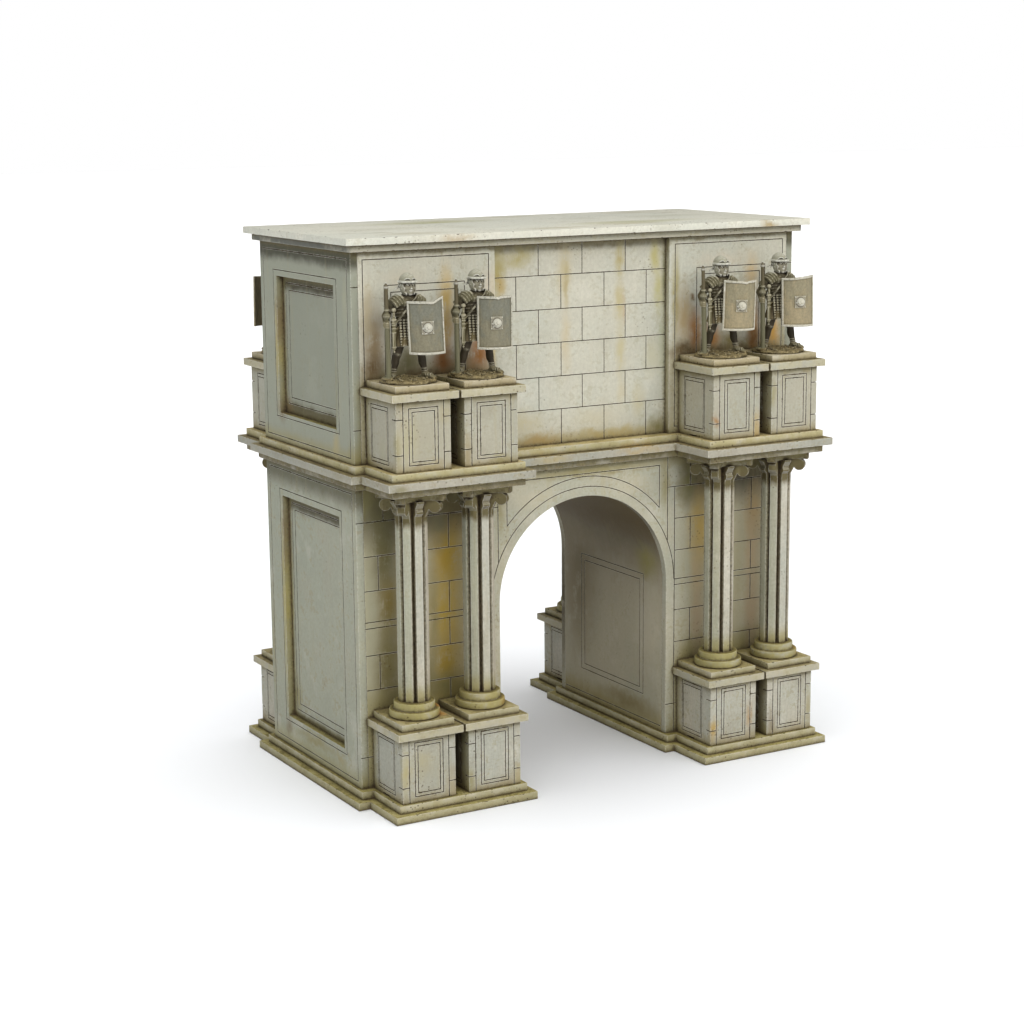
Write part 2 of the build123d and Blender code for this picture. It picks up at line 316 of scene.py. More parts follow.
def washed(name):
    """Burnt and washed inside of an engraved line."""
    mat = bpy.data.materials.new(name)
    mat.use_nodes = True
    g = Graph(mat.node_tree)
    bsdf = mat.node_tree.nodes["Principled BSDF"]
    tc = g.node("ShaderNodeTexCoord")
    P = g.v("MULTIPLY", tc.outputs["Object"], (1000.0, 1000.0, 1000.0))
    a = g.noise(P, 0.45, 4, 0.7)
    b = g.noise(P, 3.0, 2, 0.6)
    f = g.span(g.total(g.times(a, 0.75), g.times(b, 0.25)), 0.40, 0.66)
    g.put(bsdf.inputs["Base Color"], g.mix(f, (0.026, 0.018, 0.010), (0.098, 0.072, 0.038)))
    g.put(bsdf.inputs["Roughness"], g.total(0.80, g.times(b, 0.15)))
    bsdf.inputs["Specular IOR Level"].default_value = 0.2
    bump = g.node("ShaderNodeBump")
    bump.inputs["Strength"].default_value = 0.4
    bump.inputs["Distance"].default_value = 0.05 * MM
    g.put(bump.inputs["Height"], b)
    g.put(bsdf.inputs["Normal"], bump.outputs[0])
    return mat


LINE = washed("line_wash")


# ---- meshes ----------------------------------------------------------------
class Cutters:
    """Closed boxes, prisms and pebbles in one mesh, in mm."""

    def __init__(self):
        self.v, self.f = [], []

    def add(self, verts, faces):
        k = len(self.v)
        self.v += [tuple(float(c) for c in p) for p in verts]
        self.f += [tuple(k + i for i in q) for q in faces]

    def box(self, x0, x1, y0, y1, z0, z1):
        x0, x1 = min(x0, x1), max(x0, x1)
        y0, y1 = min(y0, y1), max(y0, y1)
        z0, z1 = min(z0, z1), max(z0, z1)
        vs = [(x, y, z) for x in (x0, x1) for y in (y0, y1) for z in (z0, z1)]
        self.add(vs, [(0, 1, 3, 2), (4, 6, 7, 5), (0, 4, 5, 1), (2, 3, 7, 6), (0, 2, 6, 4), (1, 5, 7, 3)])

    def arc(self, cx, cz, r, a0, a1, w, y0, y1, n=48):
        """Thin ring segment in the XZ plane."""
        vs = []
        for i in range(n + 1):
            a = math.radians(a0 + (a1 - a0) * i / n)
            for rr in (r - w / 2, r + w / 2):
                for y in (y0, y1):
                    vs.append((cx + rr * math.cos(a), y, cz + rr * math.sin(a)))
        fs = []
        for i in range(n):
            b = 4 * i
            fs += [(b, b + 1, b + 5, b + 4), (b + 2, b + 6, b + 7, b + 3),
                   (b, b + 4, b + 6, b + 2), (b + 1, b + 3, b + 7, b + 5)]
        e = 4 * n
        fs += [(0, 2, 3, 1), (e, e + 1, e + 3, e + 2)]
        self.add(vs, fs)

    def pebble(self, at, r, seed):
        """A small uneven knob that bites a chip out of an edge."""
        q = np.random.default_rng(seed)
        t = (1 + 5 ** 0.5) / 2
        ico = np.array([(-1, t, 0), (1, t, 0), (-1, -t, 0), (1, -t, 0), (0, -1, t), (0, 1, t),
                        (0, -1, -t), (0, 1, -t), (t, 0, -1), (t, 0, 1), (-t, 0, -1), (-t, 0, 1)], float)
        ico /= np.linalg.norm(ico[0])
        fs = [(0, 11, 5), (0, 5, 1), (0, 1, 7), (0, 7, 10), (0, 10, 11), (1, 5, 9), (5, 11, 4), (11, 10, 2),
              (10, 7, 6), (7, 1, 8), (3, 9, 4), (3, 4, 2), (3, 2, 6), (3, 6, 8), (3, 8, 9), (4, 9, 5),
              (2, 4, 11), (6, 2, 10), (8, 6, 7), (9, 8, 1)]
        ico = ico * q.uniform(0.78, 1.12, (12, 1))
        self.add(ico * np.array(r) + np.array(at), fs)

    def mesh(self, name, turn=False):
        me = bpy.data.meshes.new(name)
        s = -1.0 if turn else 1.0
        me.from_pydata([(x * s * MM, y * s * MM, z * MM) for x, y, z in self.v], [], self.f)
        bm = bmesh.new()
        bm.from_mesh(me)
        bmesh.ops.recalc_face_normals(bm, faces=bm.faces)
        bm.to_mesh(me)
        bm.free()
        me.materials.append(LINE)
        return me


def fresh(name, me):
    ob = bpy.data.objects.new(name, me)
    SCENE.collection.objects.link(ob)
    return ob


def smooth_by_angle(me, deg=22.0):
    bm = bmesh.new()
    bm.from_mesh(me)
    lim = math.radians(deg)
    for f in bm.faces:
        f.smooth = True
    for e in bm.edges:
        e.smooth = len(e.link_faces) == 2 and e.calc_face_angle(0) < lim
    bm.to_mesh(me)
    bm.free()


def carve(ob, *cutters, turn=False):
    """Takes the cutters out of the object, one boolean for each."""
    made = []
    for c in cutters:
        if not c.v:
            continue
        k = fresh("cutter", c.mesh("cutter", turn))
        m = ob.modifiers.new("carve", "BOOLEAN")
        m.operation = "DIFFERENCE"
        m.solver = "EXACT"
        m.object = k
        m.material_mode = "TRANSFER"
        made.append(k)
    dg = bpy.context.evaluated_depsgraph_get()
    new = bpy.data.meshes.new_from_object(ob.evaluated_get(dg))
    ob.modifiers.clear()
    ob.data = new
    for k in made:
        bpy.data.objects.remove(k)
    return ob


def board(name, nodes, mat, bevel=0.2, seam=None, cut=(), turn=False, proud=None, segs=2):
    """A piece that takes over from CAD nodes: welded, edges eased, lines cut in."""
    bm = bmesh.new()
    for n in nodes:
        bm.from_mesh(NODES[n].data)
    bmesh.ops.remove_doubles(bm, verts=bm.verts, dist=4e-6)
    if seam is not None:
        inner = [f for f in bm.faces if all(abs(v.co.z - seam * MM) < 5e-6 for v in f.verts)]
        bmesh.ops.delete(bm, geom=inner, context="FACES")
    bmesh.ops.dissolve_limit(bm, angle_limit=math.radians(0.4), verts=bm.verts, edges=bm.edges)
    if bevel:
        hard = [e for e in bm.edges if len(e.link_faces) == 2 and e.calc_face_angle(0) > math.radians(30)]
        bmesh.ops.bevel(bm, geom=hard, offset=bevel * MM, segments=segs, profile=0.6,
                        affect="EDGES", clamp_overlap=True)
    me = bpy.data.meshes.new(name)
    for f in bm.faces:
        f.material_index = 0
    bm.to_mesh(me)
    bm.free()
    me.materials.append(mat)
    ob = fresh(name, me)
    if cut:
        carve(ob, *cut, turn=turn)
    if proud is not None:
        extra = proud.mesh(name + "_proud", turn)
        bm = bmesh.new()
        bm.from_mesh(extra)
        bmesh.ops.bevel(bm, geom=list(bm.edges), offset=0.07 * MM, segments=1, profile=0.6, affect="EDGES")
        for f in bm.faces:
            f.material_index = 0
        bm.from_mesh(ob.data)
        bm.to_mesh(ob.data)
        bm.free()
    smooth_by_angle(ob.data)
    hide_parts(*nodes)
    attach(ob, "root")
    return ob


LW = 0.31      # width of an engraved line
LD = 0.24      # its depth


def hline(c, face, a, b, z, axis="y", w=LW, d=LD):
    """Level line on an upright face at axis = face, whose outside is away from the centre."""
    s = -1 if face < 0 else 1
    if axis == "y":
        c.box(a, b, face + s * 0.2, face - s * d, z - w / 2, z + w / 2)
    else:
        c.box(face + s * 0.2, face - s * d, a, b, z - w / 2, z + w / 2)


def vline(c, face, at, z0, z1, axis="y", w=LW, d=LD):
    s = -1 if face < 0 else 1
    if axis == "y":
        c.box(at - w / 2, at + w / 2, face + s * 0.2, face - s * d, z0, z1)
    else:
        c.box(face + s * 0.2, face - s * d, at - w / 2, at + w / 2, z0, z1)


def frame_lines(h, v, face, a, b, z0, z1, axis="y", w=LW, d=LD):
    hline(h, face, a - w / 2, b + w / 2, z0, axis, w, d)
    hline(h, face, a - w / 2, b + w / 2, z1, axis, w, d)
    vline(v, face, a, z0, z1, axis, w, d)
    vline(v, face, b, z0, z1, axis, w, d)


# ---- materials of the parts ------------------------------------------------
def both(blots, back=0.85):
    """The same blots on the rear, stains and painted shade and light alike, turned half round and a little fainter."""
    out = []
    for (x, y, z), r, c, k in blots:
        out += [((x, y, z), r, c, k), ((-x, -y, z), r, c, k * back)]
    return out


def on_front(y, rows, ry=6.0):
    """Rows of x, z, half width, half height, colour, strength on a face at this y."""
    return both([((x, y, z), (rx, ry, rz), c, k) for x, z, rx, rz, c, k in rows])


def on_ends(rows, rx=5.0):
    """Rows of side, y, z, half width, half height, colour, strength on both ends."""
    out = []
    for s, y, z, ry, rz, c, k in rows:
        out += [((s * (END_X - 1.5), y, z), (rx, ry, rz), c, k), ((-s * (END_X - 1.5), -y, z), (rx, ry, rz), c, 0.85 * k)]
    return out


# wall blots: stains, but the dark blots centred just under the cornice, at z 94 and above, are painted shade
wall_blots = on_front(-WALL_Y, [
    # left of the first column
    (-78.6, 86, 9.0, 26, (0.150, 0.130, 0.055), 1.0), (-77.0, 68, 5.4, 14, (0.24, 0.175, 0.050), 1.0), (-77.6, 48, 8.5, 30, (0.195, 0.162, 0.066), 1.0), (-86, 103, 7.0, 12, OLIVE, 0.9),
    (-79.0, 95, 6.0, 14, (0.15, 0.135, 0.065), 1.0), (-84.0, 66, 4.5, 40, (0.33, 0.32, 0.22), 0.75),
    # between the first two
    (-54.5, 82, 9.5, 24, (0.400, 0.270, 0.045), 1.0), (-55.5, 62, 10.0, 20, (0.420, 0.295, 0.062), 1.0), (-55.5, 44, 10.0, 20, (0.345, 0.240, 0.046), 1.0),
    (-57.5, 94, 7.0, 12, (0.190, 0.170, 0.095), 1.0), (-60.0, 60, 3.2, 26, (0.27, 0.235, 0.115), 0.8), (-61.5, 42, 4.0, 12, (0.26, 0.23, 0.12), 0.9),
    (-56.0, 37, 9.0, 8, OLIVE, 0.9), (-51.0, 98, 8.0, 8, (0.16, 0.13, 0.06), 0.9),
    # left of the third, between the last two
    (48.5, 80, 6.5, 22, (0.50, 0.360, 0.120), 1.0), (43.0, 97, 6.0, 10, OLIVE, 0.85), (47.5, 62, 4.4, 18, (0.47, 0.37, 0.22), 0.8),
    (47.8, 46, 4.2, 16, (0.44, 0.34, 0.22), 0.8), (41.0, 74, 3.4, 30, (0.40, 0.38, 0.28), 0.5),
    (72.5, 84, 5.4, 16, (0.48, 0.355, 0.180), 0.95), (72.0, 68, 4.8, 20, (0.50, 0.39, 0.24), 0.9), (72.2, 46, 4.8, 18, (0.45, 0.35, 0.22), 1.0),
    (65.5, 64, 4.0, 32, (0.36, 0.33, 0.21), 0.7), (85.0, 76, 4.2, 24, OCHRE, 0.6), (84.5, 48, 4.0, 16, MOSS, 0.6),
    (33.5, 98, 2.8, 12, MOSS, 0.8), (-34.0, 97, 2.8, 14, MOSS, 0.8), (0.0, 105.3, 34.0, 2.6, MOSS, 0.8),
    (-20.0, 98, 12.0, 5.0, (0.50, 0.46, 0.34), 0.6), (20.0, 99, 10.0, 5.0, (0.50, 0.46, 0.34), 0.6),
])
# painted shade at the back end of the passage, on its right-hand side
wall_blots.append(((34.2, 35.0, 40), (3.4, 4.0, 42), (0.110, 0.092, 0.054), 1.0))
attic_blots = on_front(-WALL_Y + T, [
    (-32.2, 176, 4.6, 13.0, (0.36, 0.31, 0.13), 1.0), (-31.5, 171, 3.2, 6.0, OCHRE, 0.55), (-24.5, 180, 8.5, 5.5, (0.38, 0.33, 0.15), 0.9),
    (-6.4, 175, 4.4, 14.0, (0.46, 0.40, 0.25), 0.95), (-5.6, 170, 1.4, 11.0, (0.37, 0.30, 0.15), 0.7), (-6.0, 152, 3.2, 18.0, (0.50, 0.43, 0.29), 0.75),
    (16.2, 178, 2.8, 9.0, (0.40, 0.34, 0.17), 1.0), (15.8, 163, 3.2, 11.0, (0.45, 0.39, 0.22), 0.95), (17.6, 160, 1.4, 9.0, (0.46, 0.36, 0.24), 0.7),
    (16.4, 146, 2.8, 13.0, (0.47, 0.42, 0.26), 0.9), (16.8, 131, 2.6, 8.0, (0.50, 0.45, 0.31), 0.7),
    (30.8, 178, 3.2, 9.0, (0.45, 0.41, 0.19), 1.0), (32.0, 166, 3.0, 10.0, (0.42, 0.39, 0.18), 0.9), (35.2, 170, 2.4, 15.0, (0.20, 0.20, 0.085), 1.0),
    (34.6, 148, 4.0, 18.0, (0.36, 0.37, 0.26), 0.9), (29.5, 143, 5.5, 10.0, (0.47, 0.45, 0.32), 0.7), (-34.8, 152, 2.2, 18.0, (0.42, 0.38, 0.22), 0.9),
    (-16.0, 117.5, 15.0, 3.6, (0.37, 0.27, 0.11), 0.9), (12.0, 117.0, 22.0, 3.4, (0.40, 0.32, 0.14), 0.95), (32.0, 118, 6.5, 5.5, OLIVE, 0.9),
    (-33.0, 119, 4.0, 7.0, MOSS, 0.9), (-22.0, 124, 10.0, 6.0, (0.47, 0.42, 0.27), 0.8), (6.0, 124, 14.0, 6.0, (0.50, 0.46, 0.33), 0.6), (24.0, 128, 4.0, 9.0, (0.48, 0.43, 0.27), 0.7),
])
panel_blots = on_front(-WALL_Y, [
    (-80.5, 155, 5.6, 20.0, (0.330, 0.250, 0.145), 1.0), (-81.0, 147, 5.0, 8.0, BROWN, 1.0), (-82.5, 165, 3.0, 16.0, (0.480, 0.400, 0.250), 0.7),
    (-53.6, 168, 4.4, 15.0, (0.520, 0.370, 0.130), 1.0), (-54.2, 157, 4.4, 10.0, (0.430, 0.270, 0.080), 1.0), (-55.0, 148.0, 6.5, 8.5, (0.240, 0.110, 0.034), 1.0),
    (-67.5, 148.5, 9.0, 10.0, (0.170, 0.155, 0.080), 1.0), (-41.5, 149.0, 8.0, 10.5, (0.310, 0.140, 0.042), 1.0), (-44.0, 160, 5.0, 8.0, (0.450, 0.330, 0.180), 0.8),
    (-36.0, 158, 2.2, 20.0, STRAW, 0.8), (-37.5, 172, 5.0, 9.0, (0.560, 0.480, 0.370), 0.6), (-47.5, 150.5, 4.5, 7.0, (0.150, 0.120, 0.060), 0.9), (-60.0, 143.0, 26.0, 4.0, (0.120, 0.086, 0.042), 1.0),
    (-70.0, 176, 12.0, 5.0, (0.580, 0.520, 0.400), 0.5),
    (37.6, 164, 2.4, 24.0, (0.350, 0.300, 0.130), 1.0), (41.5, 157, 5.5, 16.0, (0.440, 0.335, 0.180), 0.95), (45.8, 151.0, 4.2, 12.0, (0.330, 0.165, 0.060), 1.0),
    (45.0, 163.9, 1.4, 1.8, BROWN, 1.0), (41.0, 144.5, 8.0, 5.0, (0.140, 0.095, 0.045), 1.0), (53.4, 149.5, 5.5, 7.5, (0.460, 0.215, 0.060), 1.0),
    (60.5, 147.5, 5.5, 6.5, (0.260, 0.220, 0.095), 1.0), (71.4, 152.0, 4.2, 14.0, (0.430, 0.240, 0.095), 1.0), (70.5, 170.0, 4.6, 12.0, (0.560, 0.430, 0.240), 0.9),
    (80.0, 149.5, 5.0, 8.0, (0.620, 0.360, 0.085), 1.0), (60.0, 143.0, 26.0, 3.8, (0.150, 0.105, 0.048), 1.0), (71.8, 148.0, 4.0, 5.0, (0.230, 0.115, 0.035), 1.0), (84.5, 152.0, 2.4, 16.0, MOSS, 0.7),
    (56.0, 176, 16.0, 5.0, (0.620, 0.550, 0.430), 0.6), (62.0, 163.0, 4.0, 10.0, (0.560, 0.460, 0.310), 0.7),
])
ped_blots = both([
    ((-82.5, -58, 16), (3.0, 3, 10.0), (0.42, 0.36, 0.17), 0.9), ((-76.5, -58, 19), (5.0, 3, 8.0), (0.44, 0.39, 0.23), 0.7), ((-65.0, -58, 10), (4.0, 3, 7.0), (0.36, 0.28, 0.15), 0.6), ((-58.5, -58, 10), (2.4, 3, 6.0), MOSS, 0.8),
    ((-40.0, -58, 9), (2.4, 3, 6.0), (0.40, 0.33, 0.16), 0.7), ((-83.5, -58, 124), (2.0, 3, 9.0), MOSS, 0.8), ((-79.0, -58, 126), (4.5, 3, 14.0), (0.44, 0.40, 0.24), 0.8), ((-72.0, -58, 117), (8.0, 3, 3.2), (0.34, 0.28, 0.14), 0.8), ((-73.8, -58, 127), (13, 3, 14), (0.33, 0.31, 0.22), 0.55), ((-73.8, -58, 16), (13, 3, 13), (0.33, 0.30, 0.20), 0.5),
    ((-58.0, -58, 121), (2.4, 3, 9.0), (0.30, 0.24, 0.12), 0.8), ((-66.5, -58, 134), (5.0, 3, 5.0), (0.38, 0.33, 0.19), 0.6), ((-45.0, -58, 117), (6.0, 3, 2.6), MOSS, 0.8),
    ((40.2, -58, 122), (2.4, 3, 4.0), RUST, 0.8), ((58.0, -58, 120), (2.6, 3, 7.0), OCHRE, 0.6), ((64.5, -58, 130), (2.0, 3, 8.0), MOSS, 0.7),
    ((40.4, -58, 12), (2.8, 3, 7.0), OCHRE, 0.9), ((56.0, -58, 14), (2.6, 3, 8.0), (0.40, 0.24, 0.10), 0.7), ((66.0, -58, 11), (2.6, 3, 7.0), BROWN, 0.6),
    ((82.5, -58, 14), (2.0, 3, 9.0), MOSS, 0.7), ((-84, -48, 122), (2, 5, 10), (0.40, 0.38, 0.27), 0.6),
    # the dark blots in the gaps between the paired pedestals and on the outer sides of the end pedestals are painted
    # shade
    ((61.4, -47, 16), (9.0, 10.0, 16), (0.050, 0.038, 0.022), 1.0), ((-61.4, -47, 16), (9.0, 10.0, 16), (0.050, 0.038, 0.022), 1.0),
    ((61.4, -47, 127), (9.0, 10.0, 16), (0.050, 0.038, 0.022), 1.0), ((-61.4, -47, 127), (9.0, 10.0, 16), (0.050, 0.038, 0.022), 1.0),
    ((86, -42, 124), (3, 11, 18), (0.170, 0.150, 0.085), 0.9), ((86, -42, 16), (3, 11, 14), (0.190, 0.170, 0.095), 0.85),
])
ring_blots = both([((-66.0, -50, 33), (4.5, 6, 3.0), (0.50, 0.24, 0.05), 1.0), ((54.5, -50, 33), (3.5, 6, 2.6), OCHRE, 0.8),
                   ((-43.0, -54, 34), (4, 5, 2.5), OCHRE, 0.7), ((80.0, -52, 34), (4, 5, 2.5), OCHRE, 0.7)])
end_blots = on_ends([
    (-1, 23.8, 60, 2.6, 46, (0.400, 0.340, 0.130), 1.0), (-1, 23.0, 82, 1.6, 18, BROWN, 0.7), (-1, 21.0, 24, 6.0, 10, MOSS, 0.8), (-1, 22.8, 12.5, 5.0, 6.0, BROWN, 0.8),
    (-1, 0.0, 12.6, 27.0, 3.0, MOSS, 0.85), (-1, -22.0, 92, 4.0, 10, OLIVE, 0.45), (-1, -20.0, 11.5, 6.0, 3.0, (0.36, 0.30, 0.15), 0.7),
    (-1, 23.8, 150, 2.4, 28, (0.400, 0.330, 0.130), 1.0), (-1, 23.0, 158, 1.5, 14, BROWN, 0.7), (-1, 21.0, 128, 6.0, 6.0, BROWN, 0.7), (-1, -22.5, 120.0, 4.0, 6.0, (0.42, 0.35, 0.18), 0.8),
    (-1, -31.5, 168, 3.0, 12, (0.40, 0.39, 0.27), 0.6), (-1, -23.5, 140, 2.2, 20, OLIVE, 0.5),
    (-1, -35.0, 60, 2.2, 50, (0.45, 0.43, 0.31), 0.5), (-1, 34.0, 40, 2.6, 34, MOSS, 0.6), (-1, -34.0, 120, 4.0, 6.0, MOSS, 0.7),
])
board_blots = both([
    ((-61, -60, 108), (12, 5, 2.4), (0.46, 0.43, 0.32), 0.6), ((-84, -60, 111), (4, 5, 3.2), OLIVE, 0.8), ((-37, -60, 108.5), (3, 5, 3.2), OLIVE, 0.8),
    ((-88, -30, 112), (5, 14, 4), MOSS, 0.6), ((20, -40, 112), (14, 4, 3.2), OCHRE, 0.7), ((-16, -40, 112), (12, 4, 3.2), (0.42, 0.33, 0.14), 0.7),
])

DARK = (0.110, 0.088, 0.048)
COOL_A, COOL_B = (0.560, 0.545, 0.455), (0.520, 0.525, 0.450)
# the dark band high on the pier walls and the olive band just under the cornice are painted shade
M_WALL = painted("paint_ashlar", a=tuple(c * k for c, k in zip(BONE, (0.93, 0.93, 0.87))),
                 b=tuple(c * k for c, k in zip(STONE, (0.93, 0.93, 0.87))), tone=0.79, grime_and_shade=1.0, streaks=0.5, blots=wall_blots, seed=1, mottle=1.1, bands=[
    (-2.0, -1.0, (0.400, 0.360, 0.225), 0.55, (37.0, 46.0)), (82.0, 99.0, (0.092, 0.076, 0.042), 0.88, (37.0, 44.0)), (44.0, 33.0, MOSS, 0.7, (36.0, 44.0)),
    (102.8, 105.5, (0.300, 0.265, 0.150), 0.5)])
# the dark band at the top is painted shade under the roof
M_ATTIC = painted("paint_attic_ashlar", a=COOL_A, b=COOL_B, tone=0.92, grime_and_shade=0.7, streaks=0.2, run_c=(0.48, 0.43, 0.28), blots=attic_blots, seed=2, bands=[
    (181.8, 184.0, (0.150, 0.118, 0.070), 0.75), (121.0, 116.0, (0.43, 0.38, 0.22), 0.6)])
# the dark band at the top is painted shade under the roof
M_PANEL = painted("paint_attic_panels", a=COOL_A, b=COOL_B, grime_and_shade=0.9, streaks=0.3, blots=panel_blots, seed=3, bands=[
    (183.0, 184.6, (0.160, 0.125, 0.070), 0.6), (152.0, 143.5, (0.250, 0.205, 0.105), 0.5)])
# the ends take darker, cooler stone colours than the front: painted shade on the faces turned from the front light
END_A, END_B = (0.436, 0.444, 0.352), (0.404, 0.420, 0.336)
# the dark bands just under the cornice and under the roof are painted shade
M_END = painted("paint_ends", a=END_A, b=END_B, tone=0.84, mottle=1.0, grime_and_shade=1.0, streaks=0.3, reach=2.2, jag=0.8, ledge_c=(0.330, 0.285, 0.100),
                blots=end_blots, seed=4, bands=[(112.0, 118.0, (0.290, 0.303, 0.242), 0.70),
                                                (98.0, 105.0, (0.100, 0.094, 0.055), 0.8, None, 107.9), (177.8, 181.6, (0.062, 0.060, 0.040), 0.92),
                                                (14.0, 6.0, (0.350, 0.320, 0.150), 0.65), (122.0, 117.0, (0.330, 0.285, 0.125), 0.6, None, 140.0, 113.0)])
# the dark bands at the top of each recess are painted shadow of its top edge
M_RECESS = painted("paint_end_recesses", a=END_A, b=END_B, tone=0.84, mottle=1.0, grime_and_shade=1.0, streaks=0.3, reach=2.2, jag=0.5,
                   blots=end_blots, seed=4, bands=[(110.0, 118.0, (0.258, 0.270, 0.216), 0.76),
                                                   (90.6, 93.8, (0.070, 0.060, 0.036), 0.90, None, 99.0), (167.8, 170.6, (0.060, 0.052, 0.032), 0.92),
                                                   (18.6, 16.8, (0.110, 0.094, 0.046), 0.85), (131.0, 128.6, (0.100, 0.085, 0.042), 0.9, None, 140.0, 113.0)])
M_BOARD = painted("paint_cornice", reach=1.9, tone=0.61, grime_and_shade=1.0, ledge=1.0, ledge_c=(0.260, 0.210, 0.095), streaks=0.4, run_c=(0.300, 0.245, 0.110),
                  brush=0.2, edge=1.2, nicks=0.85, specks=0.9, under=0.9, blots=board_blots, seed=5, mottle=1.3)
# olive tint on the upper cornice board: its paint, darkened by painted shade behind the ledge
M_BOARD_DIM = painted("paint_cornice_stepped", reach=1.6, grime_and_shade=0.6, corner=0.75, ledge=0.75, ledge_c=(0.540, 0.430, 0.185), streaks=0.5, run_c=(0.270, 0.220, 0.095),
                      brush=0.2, edge=0.9, nicks=0.9, specks=1.0, under=0.95, blots=board_blots, seed=6, mottle=1.3,
                      tint=((0.410, 0.350, 0.132), 0.70))
# the lowest cornice board is painted dark as shade under the boards above
M_BOARD_LOW = painted("paint_cornice_lowest", tone=0.66, grime_and_shade=1.2, ledge=1.0, ledge_c=(0.240, 0.190, 0.080), streaks=0.5, run_c=(0.200, 0.160, 0.075),
                      brush=0.2, edge=0.6, nicks=0.9, specks=1.0, under=1.0, seed=18, mottle=1.3, tint=((0.135, 0.112, 0.057), 0.92))
M_PLINTH = painted("paint_plinth", reach=1.8, grime_and_shade=0.9, ledge=1.0, ledge_c=(0.360, 0.308, 0.105), streaks=0.5, brush=0.2, wash_shade_c=(0.25, 0.22, 0.09),
                   nicks=0.8, specks=1.0, seed=7, mottle=1.4, tint=((0.380, 0.335, 0.155), 0.66))
# the dark bands at the tops of the pedestals are painted shade under the caps
M_PED = painted("paint_pedestals", tone=0.77, grime_and_shade=1.0, streaks=0.5, blots=ped_blots, seed=8, nicks=0.8, specks=0.9, mottle=1.6, bands=[
    (112.0, 114.0, (0.300, 0.288, 0.212), 0.42),
    (10.5, 5.0, (0.300, 0.240, 0.120), 0.7), (24.0, 27.5, (0.230, 0.195, 0.105), 0.7, None, 28.0),
    (120.0, 115.5, (0.310, 0.250, 0.130), 0.6, None, 140.0, 113.0), (135.5, 139.0, (0.230, 0.195, 0.105), 0.7)])
M_CAP = painted("paint_caps", reach=1.9, tone=0.75, grime_and_shade=0.85, ledge=1.0, ledge_c=(0.300, 0.250, 0.110), streaks=0.35, edge=1.3, nicks=0.9, specks=1.0, seed=9,
                mottle=1.5, tint=((0.410, 0.360, 0.205), 0.58))
M_BLOCK = painted("paint_blocks", reach=1.7, grime_and_shade=0.75, ledge=0.9, ledge_c=(0.375, 0.310, 0.125), streaks=0.4, tone=0.90, nicks=0.8, specks=1.0,
                  mottle=1.3, blots=ring_blots, seed=10, tint=((0.350, 0.305, 0.140), 0.66))
M_STAND = painted("paint_statue_blocks", reach=1.6, grime_and_shade=0.7, ledge=0.8, ledge_c=(0.500, 0.420, 0.245), streaks=0.4, tone=0.88, nicks=0.8, specks=1.0,
                  mottle=1.5, seed=17, edge=1.2, tint=((0.400, 0.320, 0.170), 0.7))
M_RING = painted("paint_rings", reach=1.7, grime_and_shade=0.9, ledge=0.9, ledge_c=(0.260, 0.215, 0.070), streaks=0.3, tone=0.78, specks=1.0, blots=ring_blots,
                 seed=11, mottle=1.6, edge=1.2, tint=((0.335, 0.285, 0.064), 0.80))
M_CAPITAL = painted("paint_capitals", grime_and_shade=1.2, deep_wash_shade=1.0, streaks=0.3, tone=0.62, specks=0.9, under=1.0, seed=12, edge=0.35,
                    mottle=1.5, tint=((0.074, 0.058, 0.024), 0.98))
# the dark band at the top of the shafts is dark paint with painted shade under the cornice; ribs=True adds the painted
# shade and light of the rib sides
M_SHAFT = painted("paint_shafts", tone=0.81, mottle=1.4, grime_and_shade=0.55, deep_wash_shade=0.9, streaks=0.35, brush=0.9, specks=0.7, corner=1.0, reach=2.2,
                  ribs=True, seed=13, bands=[(95.2, 98.2, (0.108, 0.087, 0.032), 0.95), (46.0, 38.5, (0.310, 0.265, 0.095), 0.8)])
# passage: darker upwards and over the vault, dark high at the front and along the back part: painted shade; the pale
# blot low at the front is a painted pool of light
M_PASS = painted("paint_passage", upright=False, a=(0.520, 0.475, 0.350), b=(0.455, 0.430, 0.322), tone=0.84, grime_and_shade=0.6, deep_wash_shade=0.8, streaks=0.2, under=0.0,
                 seed=14, specks=0.3, mottle=0.8, bands=[(36.0, 62.0, (0.330, 0.285, 0.205), 0.45), (54.0, 84.0, (0.084, 0.058, 0.020), 0.94),
                                                         (16.0, 6.0, (0.275, 0.228, 0.088), 0.8)],
                 blots=both([((34.3, -24.5, 68), (4, 10.5, 10), (0.240, 0.215, 0.080), 1.0), ((34.3, -26, 42), (4, 12, 26), (0.530, 0.485, 0.365), 0.7),
                             ((34.3, 24, 52), (5, 20, 46), (0.215, 0.178, 0.104), 0.95), ((34.3, -12, 12), (4, 24, 5), (0.230, 0.190, 0.090), 0.9)]))
M_ROOF = painted("paint_roof", a=(0.640, 0.628, 0.540), b=(0.600, 0.602, 0.525), grime_and_shade=0.5, ledge=0.0, streaks=0.0, brush=0.2, edge=0.9,
                 nicks=0.6, specks=0.8, seed=15, under=0.85, blots=both([
                     ((-30, 20, 190), (36, 10, 4), (0.40, 0.39, 0.22), 0.95), ((24, -28, 190), (22, 6, 4), (0.42, 0.38, 0.23), 0.6),
                     ((-62, -30, 190), (18, 9, 4), (0.44, 0.41, 0.30), 0.7), ((60, 4, 190), (28, 10, 4), (0.46, 0.45, 0.35), 0.6),
                     ((-8, -33, 190), (22, 4.5, 4), (0.42, 0.37, 0.24), 0.6), ((74, -41, 188), (5.5, 3, 3), (0.36, 0.26, 0.11), 1.0),
                     ((-52, -41, 188), (9, 2.5, 2.4), (0.44, 0.34, 0.20), 0.9), ((-70, -20, 190), (9, 3, 3), (0.26, 0.22, 0.12), 0.6)]),
                 flow=(0.06, 1.0, 1.0))
